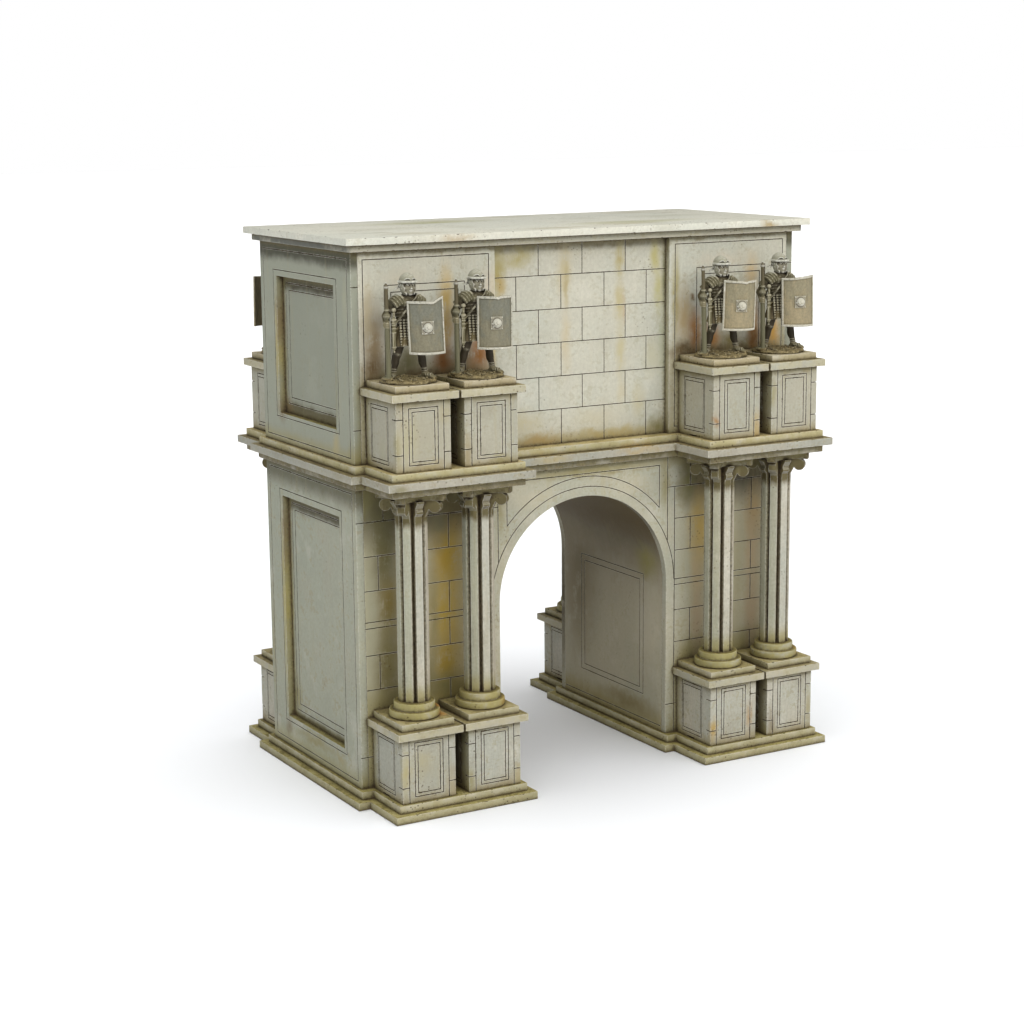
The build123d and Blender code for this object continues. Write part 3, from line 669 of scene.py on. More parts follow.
# lower roof board: its darker tone and the dark blots and band on its ends are painted shade under the upper board
M_ROOF_STEP = painted("paint_roof_step", tone=0.8, grime_and_shade=0.8, deep_wash_shade=1.0, ledge=0.5, streaks=0.1, brush=0.2, edge=1.0, nicks=0.6, specks=0.6,
                      seed=16, under=1.0, tint=((0.360, 0.348, 0.275), 0.65), bands=[(184.0, 185.0, (0.125, 0.130, 0.114), 0.9, (88.6, 90.4))], blots=[((-91, 0, 186.4), (3.5, 70, 3.4), (0.135, 0.140, 0.122), 0.95),
                                                                           ((91, 0, 186.4), (3.5, 70, 3.4), (0.135, 0.140, 0.122), 0.8)])


# ---- lower front and rear walls --------------------------------------------
def wall_lines():
    h, v, r = Cutters(), Cutters(), Cutters()
    y = -WALL_Y
    rows = [96.45, 84.85, 73.2, 62.6, 60.5, 51.2, 39.35, 27.8, 16.3]
    for s in (-1, 1):
        for z in rows:
            a, b = 37.8, END_X - T + 0.3
            if z in (96.45, 16.3):
                a = 34.75 if z > 50 else 34.0
            hline(h, y, s * a, s * b, z)
        odd = [(Z_C0 - 0.1, 96.45), (84.85, 73.2), (51.2, 39.35), (27.8, 16.3)]
        even = [(96.45, 84.85), (73.2, 62.6), (60.5, 51.2), (39.35, 27.8)]
        for z1, z0 in odd:
            for x in (44.6, 62.5, 80.5):
                if s < 0 and z1 > 100 and x == 80.5:
                    x = 78.3
                vline(v, y, s * x, z0, z1)
        for z1, z0 in even:
            for x in (53.9, 71.5):
                vline(v, y, s * x, z0, z1)
        vline(v, y, s * 34.75, 77.2, Z_C0 - 0.05)
        vline(v, y, s * 37.8, Z_PL2 + 0.05, 96.45)
        # spandrel panel
        top, xi = 104.7, 31.2
        vline(v, y, s * xi, Z_SPR + math.sqrt(41.2 ** 2 - xi ** 2) + 0.1, top)
    hline(h, y, -31.2 - LW / 2, 31.2 + LW / 2, 104.7)
    r.arc(0, Z_SPR, 37.6, 0.4, 179.6, LW, y - 0.2, y + LD, 72)
    x2 = math.degrees(math.acos(31.2 / 41.2))
    r.arc(0, Z_SPR, 41.2, x2, 180 - x2, LW, y - 0.2, y + LD, 60)
    return h, v, r


for side, turn in (("front", False), ("rear", True)):
    board(side + "_lower_wall", [side + "_arch_wall", side + "_pier_walls"], M_WALL, bevel=0.22,
          seam=Z_SPR, cut=wall_lines(), turn=turn)


# ---- attic walls and panels ------------------------------------------------
def attic_lines():
    h, v = Cutters(), Cutters()
    y = -WALL_Y + T
    zs = [116.3, 127.8, 139.2, 150.8, 162.3, 173.9, Z_A1]
    for z in zs[1:-1]:
        hline(h, y, -36, 36, z)
    for i, (z0, z1) in enumerate(zip(zs, zs[1:])):
        odd = (len(zs) - 2 - i) % 2 == 0
        for x in ((-16.7, 0.7, 18.3) if odd else (-25.5, -7.8, 9.6, 27.0)):
            vline(v, y, x, z0 if i else Z_C3, z1)
    return h, v


def panel_lines():
    h, v = Cutters(), Cutters()
    h2, v2 = Cutters(), Cutters()
    h3, v3 = Cutters(), Cutters()
    y = -WALL_Y
    for s in (-1, 1):
        for hh, vv, (a, b, z0, z1) in ((h, v, (37.4, 83.9, 118.2, 182.4)),
                                       (h2, v2, (46.6, 76.2, 127.2, 173.8)),
                                       (h3, v3, (49.0, 73.8, 129.5, 171.5))):
            frame_lines(hh, vv, y, min(s * a, s * b), max(s * a, s * b), z0, z1)
    return h, v, h2, v2, h3, v3


for side, turn in (("front", False), ("rear", True)):
    board(side + "_attic_ashlar", [side + "_attic_wall"], M_ATTIC, cut=attic_lines(), turn=turn)
    board(side + "_attic_facing", [side + "_attic_panels"], M_PANEL, cut=panel_lines(), turn=turn)


# ---- ends ------------------------------------------------------------------
def end_frame_lines(z0, z1, oy, oz0, oz1, bot, top, marks):
    h, v = Cutters(), Cutters()
    h2, v2 = Cutters(), Cutters()
    for s in (-1, 1):
        x = s * END_X
        frame_lines(h, v, x, -oy, oy, oz0, oz1, "x")
        frame_lines(h2, v2, x, -33.4, 33.4, bot, top, "x")
        for ys in (-1, 1):
            for m in marks:
                hline(h, ys * WALL_Y, s * (END_X - T - 0.3), s * (END_X + 0.3), m)
    return h, v, h2, v2


def end_panel_lines(rects):
    out = []
    for (hy, z0, z1) in rects:
        h, v = Cutters(), Cutters()
        for s in (-1, 1):
            frame_lines(h, v, s * (END_X - T), -hy, hy, z0, z1, "x")
        out += [h, v]
    return out


board("lower_end_faces", ["lower_end_frames"], M_END, bevel=0.25,
      cut=end_frame_lines(Z_PL2, Z_C0, 25.1, 14.6, 98.9, 7.6, 106.0, (96.45, 16.3)))
board("lower_end_recesses", ["lower_end_panels"], M_RECESS,
      cut=end_panel_lines([(20.8, 18.9, 94.1), (18.4, 21.4, 91.8)]))
board("attic_end_faces", ["attic_end_frames"], M_END, bevel=0.25,
      cut=end_frame_lines(Z_C3, Z_A1, 25.2, 124.8, 175.7, 117.8, 182.6, (127.2, 173.7)))
board("attic_end_recesses", ["attic_end_panels"], M_RECESS,
      cut=end_panel_lines([(20.6, 129.5, 171.2), (18.1, 131.7, 168.8)]))


# ---- passage ---------------------------------------------------------------
def passage_lines():
    h, v, h2, v2 = Cutters(), Cutters(), Cutters(), Cutters()
    for s in (-1, 1):
        # the face looks towards the middle, so the cut goes the other way
        for hh, vv, (hy, z0, z1) in ((h, v, (21.4, 16.8, 62.0)), (h2, v2, (19.1, 18.9, 59.7))):
            for z in (z0, z1):
                hh.box(s * 34.1, s * (34.3 + LD), -hy - LW / 2, hy + LW / 2, z - LW / 2, z + LW / 2)
            for y in (-hy, hy):
                vv.box(s * 34.1, s * (34.3 + LD), y - LW / 2, y + LW / 2, z0, z1)
        h.box(s * 34.1, s * (34.3 + LD), -33.0, 33.0, 7.4 - LW / 2, 7.4 + LW / 2)
    return h, v, h2, v2


board("passage_lining", ["passage_walls", "arch_vault"], M_PASS, bevel=0.1, seam=Z_SPR, cut=passage_lines())


# ---- boards of plinth, cornice and roof ------------------------------------
def edge_chips(runs, seed, spacing=9.0, size=(0.35, 0.9), bite=0.28):
    """Knobs set along edges, sunk a little way in. A run is two ends of an edge and its outward diagonal."""
    q = np.random.default_rng(seed)
    c = Cutters()
    k = 0
    for p0, p1, out in runs:
        p0, p1, out = np.array(p0, float), np.array(p1, float), np.array(out, float)
        out /= np.linalg.norm(out)
        L = np.linalg.norm(p1 - p0)
        d = (p1 - p0) / L
        t = q.uniform(1.5, spacing)
        while t < L - 1.5:
            a = q.uniform(*size)
            r = np.array([0.45, 0.45, 0.45]) + np.abs(d) * a
            b = q.uniform(0.25, 1.0) * bite
            c.pebble(p0 + d * t + out * (0.45 - b), r, seed * 1000 + k)
            k += 1
            t += 2.4 * a + q.uniform(0.3, 1.0) * spacing
    return c


def ring_runs(pts, z0, z1):
    """Upper and lower edges of a board with this outline."""
    out = []
    n = len(pts)
    for i in range(n):
        a, b = pts[i], pts[(i + 1) % n]
        dx, dy = b[0] - a[0], b[1] - a[1]
        L = math.hypot(dx, dy)
        if L < 6:
            continue
        nx, ny = dy / L, -dx / L        # outlines run counter-clockwise
        out.append(((a[0], a[1], z1), (b[0], b[1], z1), (nx, ny, 1)))
        out.append(((a[0], a[1], z0), (b[0], b[1], z0), (nx, ny, -1)))
    return out


def cornice_outline(inset):
    x, y = 92.0 - inset, 41.5 - inset
    pi, po, py = 34.4 + inset, 88.5 - inset, 61.5 - inset
    q = [(pi, -y), (pi, -py), (po, -py), (po, -y), (x, -y)]
    right = q + [(a, -b) for a, b in reversed(q)]
    return right + [(-a, -b) for a, b in right]


def pier_outline(inset):
    xi, xo, y = 30.6 + inset, 92.1 - inset, 41.7 - inset
    pi, po, py = 34.5 + inset, 87.9 - inset, 61.4 - inset
    return [(xi, -y), (pi, -y), (pi, -py), (po, -py), (po, -y), (xo, -y),
            (xo, y), (po, y), (po, py), (pi, py), (pi, y), (xi, y)]


seed = 1
for node, inset in (("cornice_lower_board", 2.5), ("cornice_middle_board", 0.0), ("cornice_upper_board", 2.5)):
    a, b = lohi(node)
    board(node + "_edge", [node], {"m": M_BOARD, "u": M_BOARD_DIM, "l": M_BOARD_LOW}[node[8]], bevel=0.24,
          cut=[edge_chips(ring_runs(cornice_outline(inset), a[2], b[2]), seed, 8.0)])
    seed += 1
for node, inset in (("plinth_lower_boards", 0.0), ("plinth_upper_boards", 2.6)):
    a, b = lohi(node)
    runs = ring_runs(pier_outline(inset), a[2], b[2])
    runs = [r for r in runs if r[2][2] > 0 or a[2] > 0.1]
    runs += [((-p[0], -p[1], p[2]), (-q[0], -q[1], q[2]), (-o[0], -o[1], o[2])) for p, q, o in runs]
    board(node + "_edge", [node], M_PLINTH, bevel=0.26, cut=[edge_chips(runs, seed, 9.0)])
    seed += 1
for node in ("roof_lower_board", "roof_upper_board"):
    a, b = lohi(node)
    pts = [(a[0], a[1]), (b[0], a[1]), (b[0], b[1]), (a[0], b[1])]
    board(node + "_edge", [node], M_ROOF if "upper" in node else M_ROOF_STEP, bevel=0.24,
          cut=[edge_chips(ring_runs(pts, a[2], b[2]), seed, 10.0)])
    seed += 1


# ---- pedestals, caps, blocks, columns --------------------------------------
def pedestal_cuts(z0, z1, marks, outer, inner):
    """Lines on the front and on both sides of the four boxes; the finger joints show as cut lines and small notches.
    """
    h, v, h2, v2, st = Cutters(), Cutters(), Cutters(), Cutters(), Cutters()
    yf = -57.7
    for s in (-1, 1):
        for cx in COL_X:
            cx = s * cx
            frame_lines(h, v, yf, cx - outer[0], cx + outer[0], outer[1], outer[2])
            frame_lines(h2, v2, yf, cx - inner[0], cx + inner[0], inner[1], inner[2])
            for e in (-1, 1):
                vline(st, yf, cx + e * 7.35, z0 + 0.05, z1 - 0.05)
                for m in marks:
                    hline(h, yf, cx + e * 7.35, cx + e * 10.2, m, w=0.32, d=0.35)
                fx = cx + e * 9.9
                # side faces
                for hh, vv, (ya, yb, za, zb) in ((h, v, (-52.2, -40.0, outer[1] - 0.2, outer[2])),
                                                 (h2, v2, (-51.5, -40.7, inner[1] - 0.1, inner[2]))):
                    for z in (za, zb):
                        hh.box(fx + e * 0.2, fx - e * LD, ya - LW / 2, yb + LW / 2, z - LW / 2, z + LW / 2)
                    for y in (ya, yb):
                        vv.box(fx + e * 0.2, fx - e * LD, y - LW / 2, y + LW / 2, za, zb)
                for m in marks:
                    h2.box(fx + e * 0.2, fx - e * 0.35, -58.0, -55.1, m - 0.16, m + 0.16)
                st.box(fx + e * 0.2, fx - e * 0.5, -47.7, -43.4, z0 + 0.15, z0 + 0.6)
    return h, v, h2, v2, st


for side, turn in (("front", False), ("rear", True)):
    board(side + "_lower_pedestal_boxes", [side + "_lower_pedestals"], M_PED, bevel=0.2,
          cut=pedestal_cuts(Z_PL2, 27.5, (22.2, 10.9), (5.2, 7.5, 25.9), (4.1, 8.7, 24.7)), turn=turn)
    board(side + "_upper_pedestal_boxes", [side + "_upper_pedestals"], M_PED, bevel=0.2,
          cut=pedestal_cuts(Z_C3, 138.8, (133.0, 121.5), (5.25, 118.0, 136.4), (4.05, 119.1, 135.2)), turn=turn)
    for node, half, mat, sp in (("lower_pedestal_caps", 12.0, M_CAP, 8.0), ("column_blocks", 9.7, M_BLOCK, 7.0),
                                ("upper_pedestal_caps", 12.0, M_CAP, 8.0), ("statue_blocks", 9.7, M_STAND, 6.0)):
        a, b = lohi(side + "_" + node)
        runs = []
        for s in (-1, 1):
            for cx in COL_X:
                x0, x1, yf = s * cx - half, s * cx + half, -COL_Y - half
                runs += ring_runs([(x0, yf), (x1, yf), (x1, -WALL_Y - 0.6), (x0, -WALL_Y - 0.6)], a[2], b[2])
        runs = [r for r in runs if not (abs(r[0][1] + WALL_Y + 0.6) < 0.1 and abs(r[1][1] + WALL_Y + 0.6) < 0.1)]
        board(side + "_" + node + "_edge", [side + "_" + node], mat, bevel=0.22,
              cut=[edge_chips(runs, seed, sp)], turn=turn)
        seed += 1
    board(side + "_column_ribs", [side + "_column_shafts"], M_SHAFT, bevel=0.22)
    board(side + "_column_rings", [side + "_column_bases"], M_RING, bevel=0.0)
    board(side + "_column_tops", [side + "_column_abaci"], M_CAPITAL, bevel=0.2)

# ---- figures ----------------------------------------------------------------
class Field:
    """Distance field on a grid, in mm about the figure's axis with the soles at z = 0."""

    def __init__(self, lo, hi, h):
        self.lo, self.h = np.array(lo, float), h
        self.n = [int(math.ceil((b - a) / h)) + 1 for a, b in zip(lo, hi)]
        self.ax = [np.float32(a) + np.float32(h) * np.arange(n, dtype=np.float32) for a, n in zip(lo, self.n)]
        self.d = np.full(self.n, 3.0, np.float32)

    def _cut(self, lo, hi, pad):
        sl = []
        for i in range(3):
            a = int(math.floor((lo[i] - pad - self.lo[i]) / self.h))
            b = int(math.ceil((hi[i] + pad - self.lo[i]) / self.h)) + 1
            sl.append(slice(max(0, a), min(self.n[i], max(0, b))))
        X = self.ax[0][sl[0]][:, None, None]
        Y = self.ax[1][sl[1]][None, :, None]
        Z = self.ax[2][sl[2]][None, None, :]
        return tuple(sl), X, Y, Z

    def join(self, fn, lo, hi, k=0.0):
        sl, X, Y, Z = self._cut(lo, hi, 0.6 + k)
        new = fn(X, Y, Z)
        old = self.d[sl]
        if k > 0:
            e = np.maximum(k - np.abs(old - new), 0) / k
            self.d[sl] = np.minimum(old, new) - e * e * (k * 0.25)
        else:
            self.d[sl] = np.minimum(old, new)

    def dig(self, fn, lo, hi, k=0.0):
        sl, X, Y, Z = self._cut(lo, hi, 0.6 + k)
        new = -fn(X, Y, Z)
        old = self.d[sl]
        if k > 0:
            e = np.maximum(k - np.abs(old - new), 0) / k
            self.d[sl] = np.maximum(old, new) + e * e * (k * 0.25)
        else:
            self.d[sl] = np.maximum(old, new)

    # simple shapes
    def rod(self, p0, r0, p1, r1, k=0.0, dig=False):
        p0, p1 = np.array(p0, np.float32), np.array(p1, np.float32)
        dd = p1 - p0
        L2 = float(dd @ dd) + 1e-9

        def fn(X, Y, Z):
            t = np.clip(((X - p0[0]) * dd[0] + (Y - p0[1]) * dd[1] + (Z - p0[2]) * dd[2]) / L2, 0, 1)
            return np.sqrt((X - p0[0] - t * dd[0]) ** 2 + (Y - p0[1] - t * dd[1]) ** 2
                           + (Z - p0[2] - t * dd[2]) ** 2) - (r0 + (r1 - r0) * t)
        r = max(r0, r1)
        (self.dig if dig else self.join)(fn, np.minimum(p0, p1) - r, np.maximum(p0, p1) + r, k)

    def egg(self, c, r, k=0.0, dig=False, turn=None):
        c, r = np.array(c, np.float32), np.array(r, np.float32)
        M = None if turn is None else np.array(turn, np.float32)

        def fn(X, Y, Z):
            x, y, z = X - c[0], Y - c[1], Z - c[2]
            if M is not None:
                x, y, z = (M[0][0] * x + M[1][0] * y + M[2][0] * z, M[0][1] * x + M[1][1] * y + M[2][1] * z,
                           M[0][2] * x + M[1][2] * y + M[2][2] * z)
            a = np.sqrt((x / r[0]) ** 2 + (y / r[1]) ** 2 + (z / r[2]) ** 2)
            b = np.sqrt((x / r[0] ** 2) ** 2 + (y / r[1] ** 2) ** 2 + (z / r[2] ** 2) ** 2) + 1e-6
            return a * (a - 1) / b
        R = float(r.max())
        (self.dig if dig else self.join)(fn, c - R, c + R, k)

    def block(self, c, half, rnd=0.1, k=0.0, dig=False, turn=None):
        c, half = np.array(c, np.float32), np.array(half, np.float32)
        M = np.eye(3, dtype=np.float32) if turn is None else np.array(turn, np.float32)

        def fn(X, Y, Z):
            x, y, z = X - c[0], Y - c[1], Z - c[2]
            q = [np.abs(M[0][i] * x + M[1][i] * y + M[2][i] * z) - half[i] + rnd for i in range(3)]
            out = np.sqrt(sum(np.maximum(a, 0) ** 2 for a in q))
            return out + np.minimum(np.maximum(np.maximum(q[0], q[1]), q[2]), 0) - rnd
        R = float(np.linalg.norm(half))
        (self.dig if dig else self.join)(fn, c - R, c + R, k)

    def hoop(self, c, r, t, k=0.0, turn=None, flat=1.0):
        """Ring about its own z axis, elliptic, of round or flattened section."""
        c = np.array(c, np.float32)
        M = np.eye(3, dtype=np.float32) if turn is None else np.array(turn, np.float32)
        rx, ry = (r, r) if np.isscalar(r) else r

        def fn(X, Y, Z):
            x, y, z = X - c[0], Y - c[1], Z - c[2]
            x, y, z = [M[0][i] * x + M[1][i] * y + M[2][i] * z for i in range(3)]
            q = np.sqrt((x / rx) ** 2 + (y / ry) ** 2) + 1e-6
            rad = (q - 1) * np.sqrt(x * x + y * y) / q
            return np.sqrt(rad ** 2 + (z / flat) ** 2) - t
        R = max(rx, ry) + t * max(1, flat)
        self.join(fn, c - R, c + R, k)

    def skin(self):
        """Quads through the zero level, one point a crossed cell."""
        d = self.d
        s = d < 0
        cnt = np.zeros([n - 1 for n in self.n], np.uint8)
        cs = [(a, b, c) for a in (0, 1) for b in (0, 1) for c in (0, 1)]
        nx, ny, nz = self.n
        for a, b, c in cs:
            cnt += s[a:nx - 1 + a, b:ny - 1 + b, c:nz - 1 + c]
        act = (cnt > 0) & (cnt < 8)
        ijk = np.argwhere(act)
        idx = np.full(act.shape, -1, np.int32)
        idx[act] = np.arange(len(ijk), dtype=np.int32)
        val = {q: d[ijk[:, 0] + q[0], ijk[:, 1] + q[1], ijk[:, 2] + q[2]] for q in cs}
        acc = np.zeros((len(ijk), 3))
        num = np.zeros(len(ijk))
        for p in cs:
            for i in range(3):
                if p[i] == 0:
                    q = tuple(1 if j == i else p[j] for j in range(3))
                    vp, vq = val[p], val[q]
                    hit = (vp < 0) != (vq < 0)
                    t = np.where(hit, vp / np.where(hit, vp - vq, 1), 0)
                    pos = np.array(p, float)[None, :].repeat(len(ijk), 0)
                    pos[:, i] += t
                    acc += pos * hit[:, None]
                    num += hit
        V = self.lo + self.h * (ijk + acc / num[:, None])
        F = []
        for i in range(3):
            j, k = (i + 1) % 3, (i + 2) % 3
            sa = [slice(1, n - 1) for n in self.n]
            sb = list(sa)
            sa[i] = slice(0, self.n[i] - 1)
            sb[i] = slice(1, self.n[i])
            a, b = s[tuple(sa)], s[tuple(sb)]
            hit = np.argwhere(a != b)
            base = hit.copy()
            for q in range(3):
                if q != i:
                    base[:, q] += 1
            inside_low = a[tuple(hit.T)]

            def cell(dj, dk):
                c = base.copy()
                c[:, j] -= dj
                c[:, k] -= dk
                return idx[c[:, 0], c[:, 1], c[:, 2]]
            q = np.stack([cell(0, 0), cell(1, 0), cell(1, 1), cell(0, 1)], 1)
            q[~inside_low] = q[~inside_low][:, ::-1]
            F.append(q)
        F = np.concatenate(F)
        return V, F[(F >= 0).all(1)]


def spin(ax, deg):
    """Rotation whose columns are the turned axes."""
    m = Matrix.Rotation(math.radians(deg), 3, ax)
    return [[m[i][j] for j in range(3)] for i in range(3)]


def grip_noise(X, Y, Z, f, seed):
    """Cheap smooth unevenness from a few sine waves."""
    q = np.random.default_rng(seed)
    out = 0
    for _ in range(5):
        a = q.normal(size=3) * f
        out = out + np.sin(a[0] * X + a[1] * Y + a[2] * Z + q.uniform(0, 6.28))
    return out / 5


def outline(y, z, pts):
    """Signed distance to a closed outline in a plane."""
    d = None
    inside = None
    n = len(pts)
    for i in range(n):
        (ay, az), (by, bz) = pts[i], pts[(i + 1) % n]
        ey, ez = by - ay, bz - az
        wy, wz = y - ay, z - az
        t = np.clip((wy * ey + wz * ez) / (ey * ey + ez * ez), 0, 1)
        q = (wy - ey * t) ** 2 + (wz - ez * t) ** 2
        d = q if d is None else np.minimum(d, q)
        c1, c2, c3 = z >= az, z < bz, ey * wz > ez * wy
        flip = (c1 & c2 & c3) | (~c1 & ~c2 & ~c3)
        inside = flip if inside is None else inside ^ flip
    return np.where(inside, -1.0, 1.0) * np.sqrt(d)


def soldier(h=0.135):
    F = Field((-10.3, -10.1, -1.5), (10.1, 10.1, 34.8), h)
    q = np.random.default_rng(5)

    # --- legs
    hipR, kneeR, ankR = (-2.1, 0.4, 13.6), (-3.9, -0.1, 8.2), (-5.0, 1.0, 1.7)
    hipL, kneeL, ankL = (2.2, 0.0, 13.6), (3.7, -2.0, 8.2), (4.8, -2.4, 1.7)
    for hip, knee, ank in ((hipR, kneeR, ankR), (hipL, kneeL, ankL)):
        F.rod(hip, 2.05, knee, 1.40, 0.5)
        F.egg((knee[0], knee[1] - 0.55, knee[2] + 0.1), (0.85, 0.65, 0.95), 0.5)
        F.rod(knee, 1.22, ank, 0.80, 0.5)
        mid = [a * 0.62 + b * 0.38 for a, b in zip(knee, ank)]
        F.egg((mid[0], mid[1] + 0.55, mid[2]), (1.15, 1.15, 2.1), 0.7)
        F.egg((ank[0], ank[1], ank[2] - 0.3), (0.98, 0.9, 0.6), 0.3)
    # sandals: sole, foot, toes, straps
    for ank, deg in ((ankR, -48), (ankL, 34)):
        R = np.array(spin("Z", deg))
        base = np.array([ank[0], ank[1], 0.0])

        def at(x, y, z):
            return tuple(base + R @ np.array([x, y, 0.0]) + np.array([0, 0, z]))
        F.block(at(0, -1.3, 0.16), (1.05, 2.6, 0.26), 0.2, 0.1, turn=R)
        F.rod(at(0, -0.1, 1.15), 0.95, at(0, -2.3, 0.75), 0.72, 0.5)
        F.egg(at(0, 0.75, 0.7), (0.85, 0.8, 0.75), 0.4)
        F.egg(at(0, -2.6, 0.62), (1.05, 0.95, 0.48), 0.4)
        for i, x in enumerate((-0.82, -0.42, 0.0, 0.40, 0.78)):
            s = 0.34 if (i == 0) == (deg < 0) and i in (0,) or (i == 4 and deg > 0) else 0.27
            F.rod(at(x, -3.1 + 0.12 * abs(i - 2), 0.58), s, at(x * 1.02, -3.72 + 0.2 * abs(i - 2), 0.50), s * 0.92, 0.08)
        for yy, zz, tilt, rr in ((-2.35, 0.72, 78, 1.02), (-1.55, 0.85, 66, 1.02), (-0.75, 1.05, 52, 1.06)):
            F.hoop(at(0, yy, zz), (1.04, rr * 0.92), 0.16, 0.05, turn=(R @ np.array(spin("X", tilt))), flat=1.9)
        for zz in (1.85, 2.55, 3.25):
            t = (zz - ank[2]) / (8.2 - ank[2])
            kn = kneeR if ank is ankR else kneeL
            cx = ank[0] + (kn[0] - ank[0]) * t
            cy = ank[1] + (kn[1] - ank[1]) * t
            F.hoop((cx, cy, zz), 0.92 + 0.12 * t, 0.15, 0.05, flat=1.8)
        F.rod(at(0, -2.5, 1.25), 0.17, at(0, -0.75, 2.0), 0.17, 0.05)

    # --- tunic skirt with folds
    def skirt(X, Y, Z):
        t = np.clip((17.2 - Z) / 6.4, 0, 1)
        a, b = 3.35 + 2.05 * t, 2.75 + 1.55 * t
        x, y = X - 0.1 * t, Y - 0.1 + 0.5 * t
        th = np.arctan2(y / b, x / a)
        fold = (0.17 + 0.33 * t) * np.sin(8 * th + 0.8 * np.sin(3 * th + 1.1)) * np.clip(t * 1.6, 0, 1)
        q_ = np.sqrt((x / a) ** 2 + (y / b) ** 2) + 1e-6
        rad = (q_ - 1) * np.sqrt(x * x + y * y) / q_ - fold * 0.8
        hem = 10.75 + 0.25 * np.sin(3 * th + 0.5)
        return np.maximum(rad, np.maximum(hem - Z, Z - 17.6))
    F.join(skirt, (-6, -5, 10), (6, 5, 18), 0.2)

    # hollow between the legs under the hem
    def under(X, Y, Z):
        t = np.clip((17.2 - Z) / 6.4, 0, 1)
        a, b = 2.75 + 2.0 * t, 2.15 + 1.5 * t
        q_ = np.sqrt(((X - 0.1 * t) / a) ** 2 + ((Y - 0.1 + 0.5 * t) / b) ** 2) + 1e-6
        return np.maximum((q_ - 1) * b, Z - 12.3)
    F.dig(under, (-5.5, -4.5, 9.5), (5.5, 4.5, 12.3), 0.15)
    for hip, knee in ((hipR, kneeR), (hipL, kneeL)):
        m0 = [a * 0.75 + b * 0.25 for a, b in zip(hip, knee)]
        F.rod(m0, 1.85, knee, 1.38, 0.15)

    # --- trunk with overlapping girth plates
    def trunk(X, Y, Z):
        def egg(c, r):
            x, y, z = (X - c[0]) / r[0], (Y - c[1]) / r[1], (Z - c[2]) / r[2]
            a = np.sqrt(x * x + y * y + z * z)
            b = np.sqrt((x / r[0]) ** 2 + (y / r[1]) ** 2 + (z / r[2]) ** 2) + 1e-6
            return a * (a - 1) / b
        a = egg((0, 0.25, 22.4), (4.35, 3.05, 4.7))
        b = egg((0, 0.2, 17.9), (3.55, 2.85, 3.0))
        k = 1.6
        e = np.maximum(k - np.abs(a - b), 0) / k
        d = np.minimum(a, b) - e * e * k * 0.25
        ph = ((Z - 16.9 + 0.10 * np.abs(X)) / 1.12) % 1.0
        saw = np.minimum((1 - ph) / 0.82, ph / 0.18)
        lap = np.where((Z > 16.6) & (Z < 23.6), 0.36 * saw - 0.12, 0.12)
        return d - lap
    F.join(trunk, (-5, -4, 14.5), (5, 4, 27.2), 0.25)
    # front fastening of the plates
    for i in range(6):
        z = 17.5 + 1.12 * i
        yy = -2.95 - 0.18 * math.sin((z - 17) * 0.5)
        F.block((0.0, yy - 0.25, z), (0.42, 0.28, 0.16), 0.1, 0.05)
    # breast plates and collar
    for s in (-1, 1):
        F.egg((1.75 * s, -1.35, 24.55), (1.95, 1.75, 1.45), 0.15, turn=spin("Y", 14 * s))
        F.block((1.55 * s, -2.75, 24.2), (1.0, 0.35, 0.8), 0.25, 0.2, turn=spin("X", 18))
        F.block((1.7 * s, 2.6, 24.2), (1.35, 0.4, 1.1), 0.3, 0.2, turn=spin("X", -12))
    # shoulder plates: strips from front to back over a sloping barrel, lapped outwards
    slope = math.radians(32)
    for s in (-1, 1):
        cx, cz, R0 = 3.55, 24.45, 2.36

        def guard(X, Y, Z, s=s):
            x, y, z = X * s - cx, Y - 0.15, Z - cz
            u = x * math.cos(slope) - z * math.sin(slope)
            v = x * math.sin(slope) + z * math.cos(slope)
            R = R0 - 0.05 * u * u
            rad = np.sqrt((v * 0.98) ** 2 + (y * 0.84) ** 2) - R
            ph = ((u + 2.05) / 1.0) % 1.0
            saw = np.minimum(ph / 0.80, (1 - ph) / 0.20)
            d = rad - (0.34 * saw - 0.10)
            low = -(v + 0.55 + 0.10 * np.sin(u * 6.28 + 1.0))
            return np.maximum(np.maximum(d, -(rad + 0.75)), np.maximum(low, np.abs(u) - 2.05))
        F.join(guard, (s * cx - 3.7, -3.6, 21.0), (s * cx + 3.7, 3.9, 27.6), 0.05)
        for y in (-2.45, -1.25, 1.45, 2.7):
            for i in range(4):
                u = -1.45 + 1.0 * i
                v = math.sqrt(max(0.0, (R0 - 0.05 * u * u + 0.12) ** 2 - ((y - 0.15) * 0.84) ** 2))
                F.egg((s * (cx + u * math.cos(slope) + v * math.sin(slope)), y,
                       cz - u * math.sin(slope) + v * math.cos(slope)), (0.2, 0.2, 0.2), 0.03)

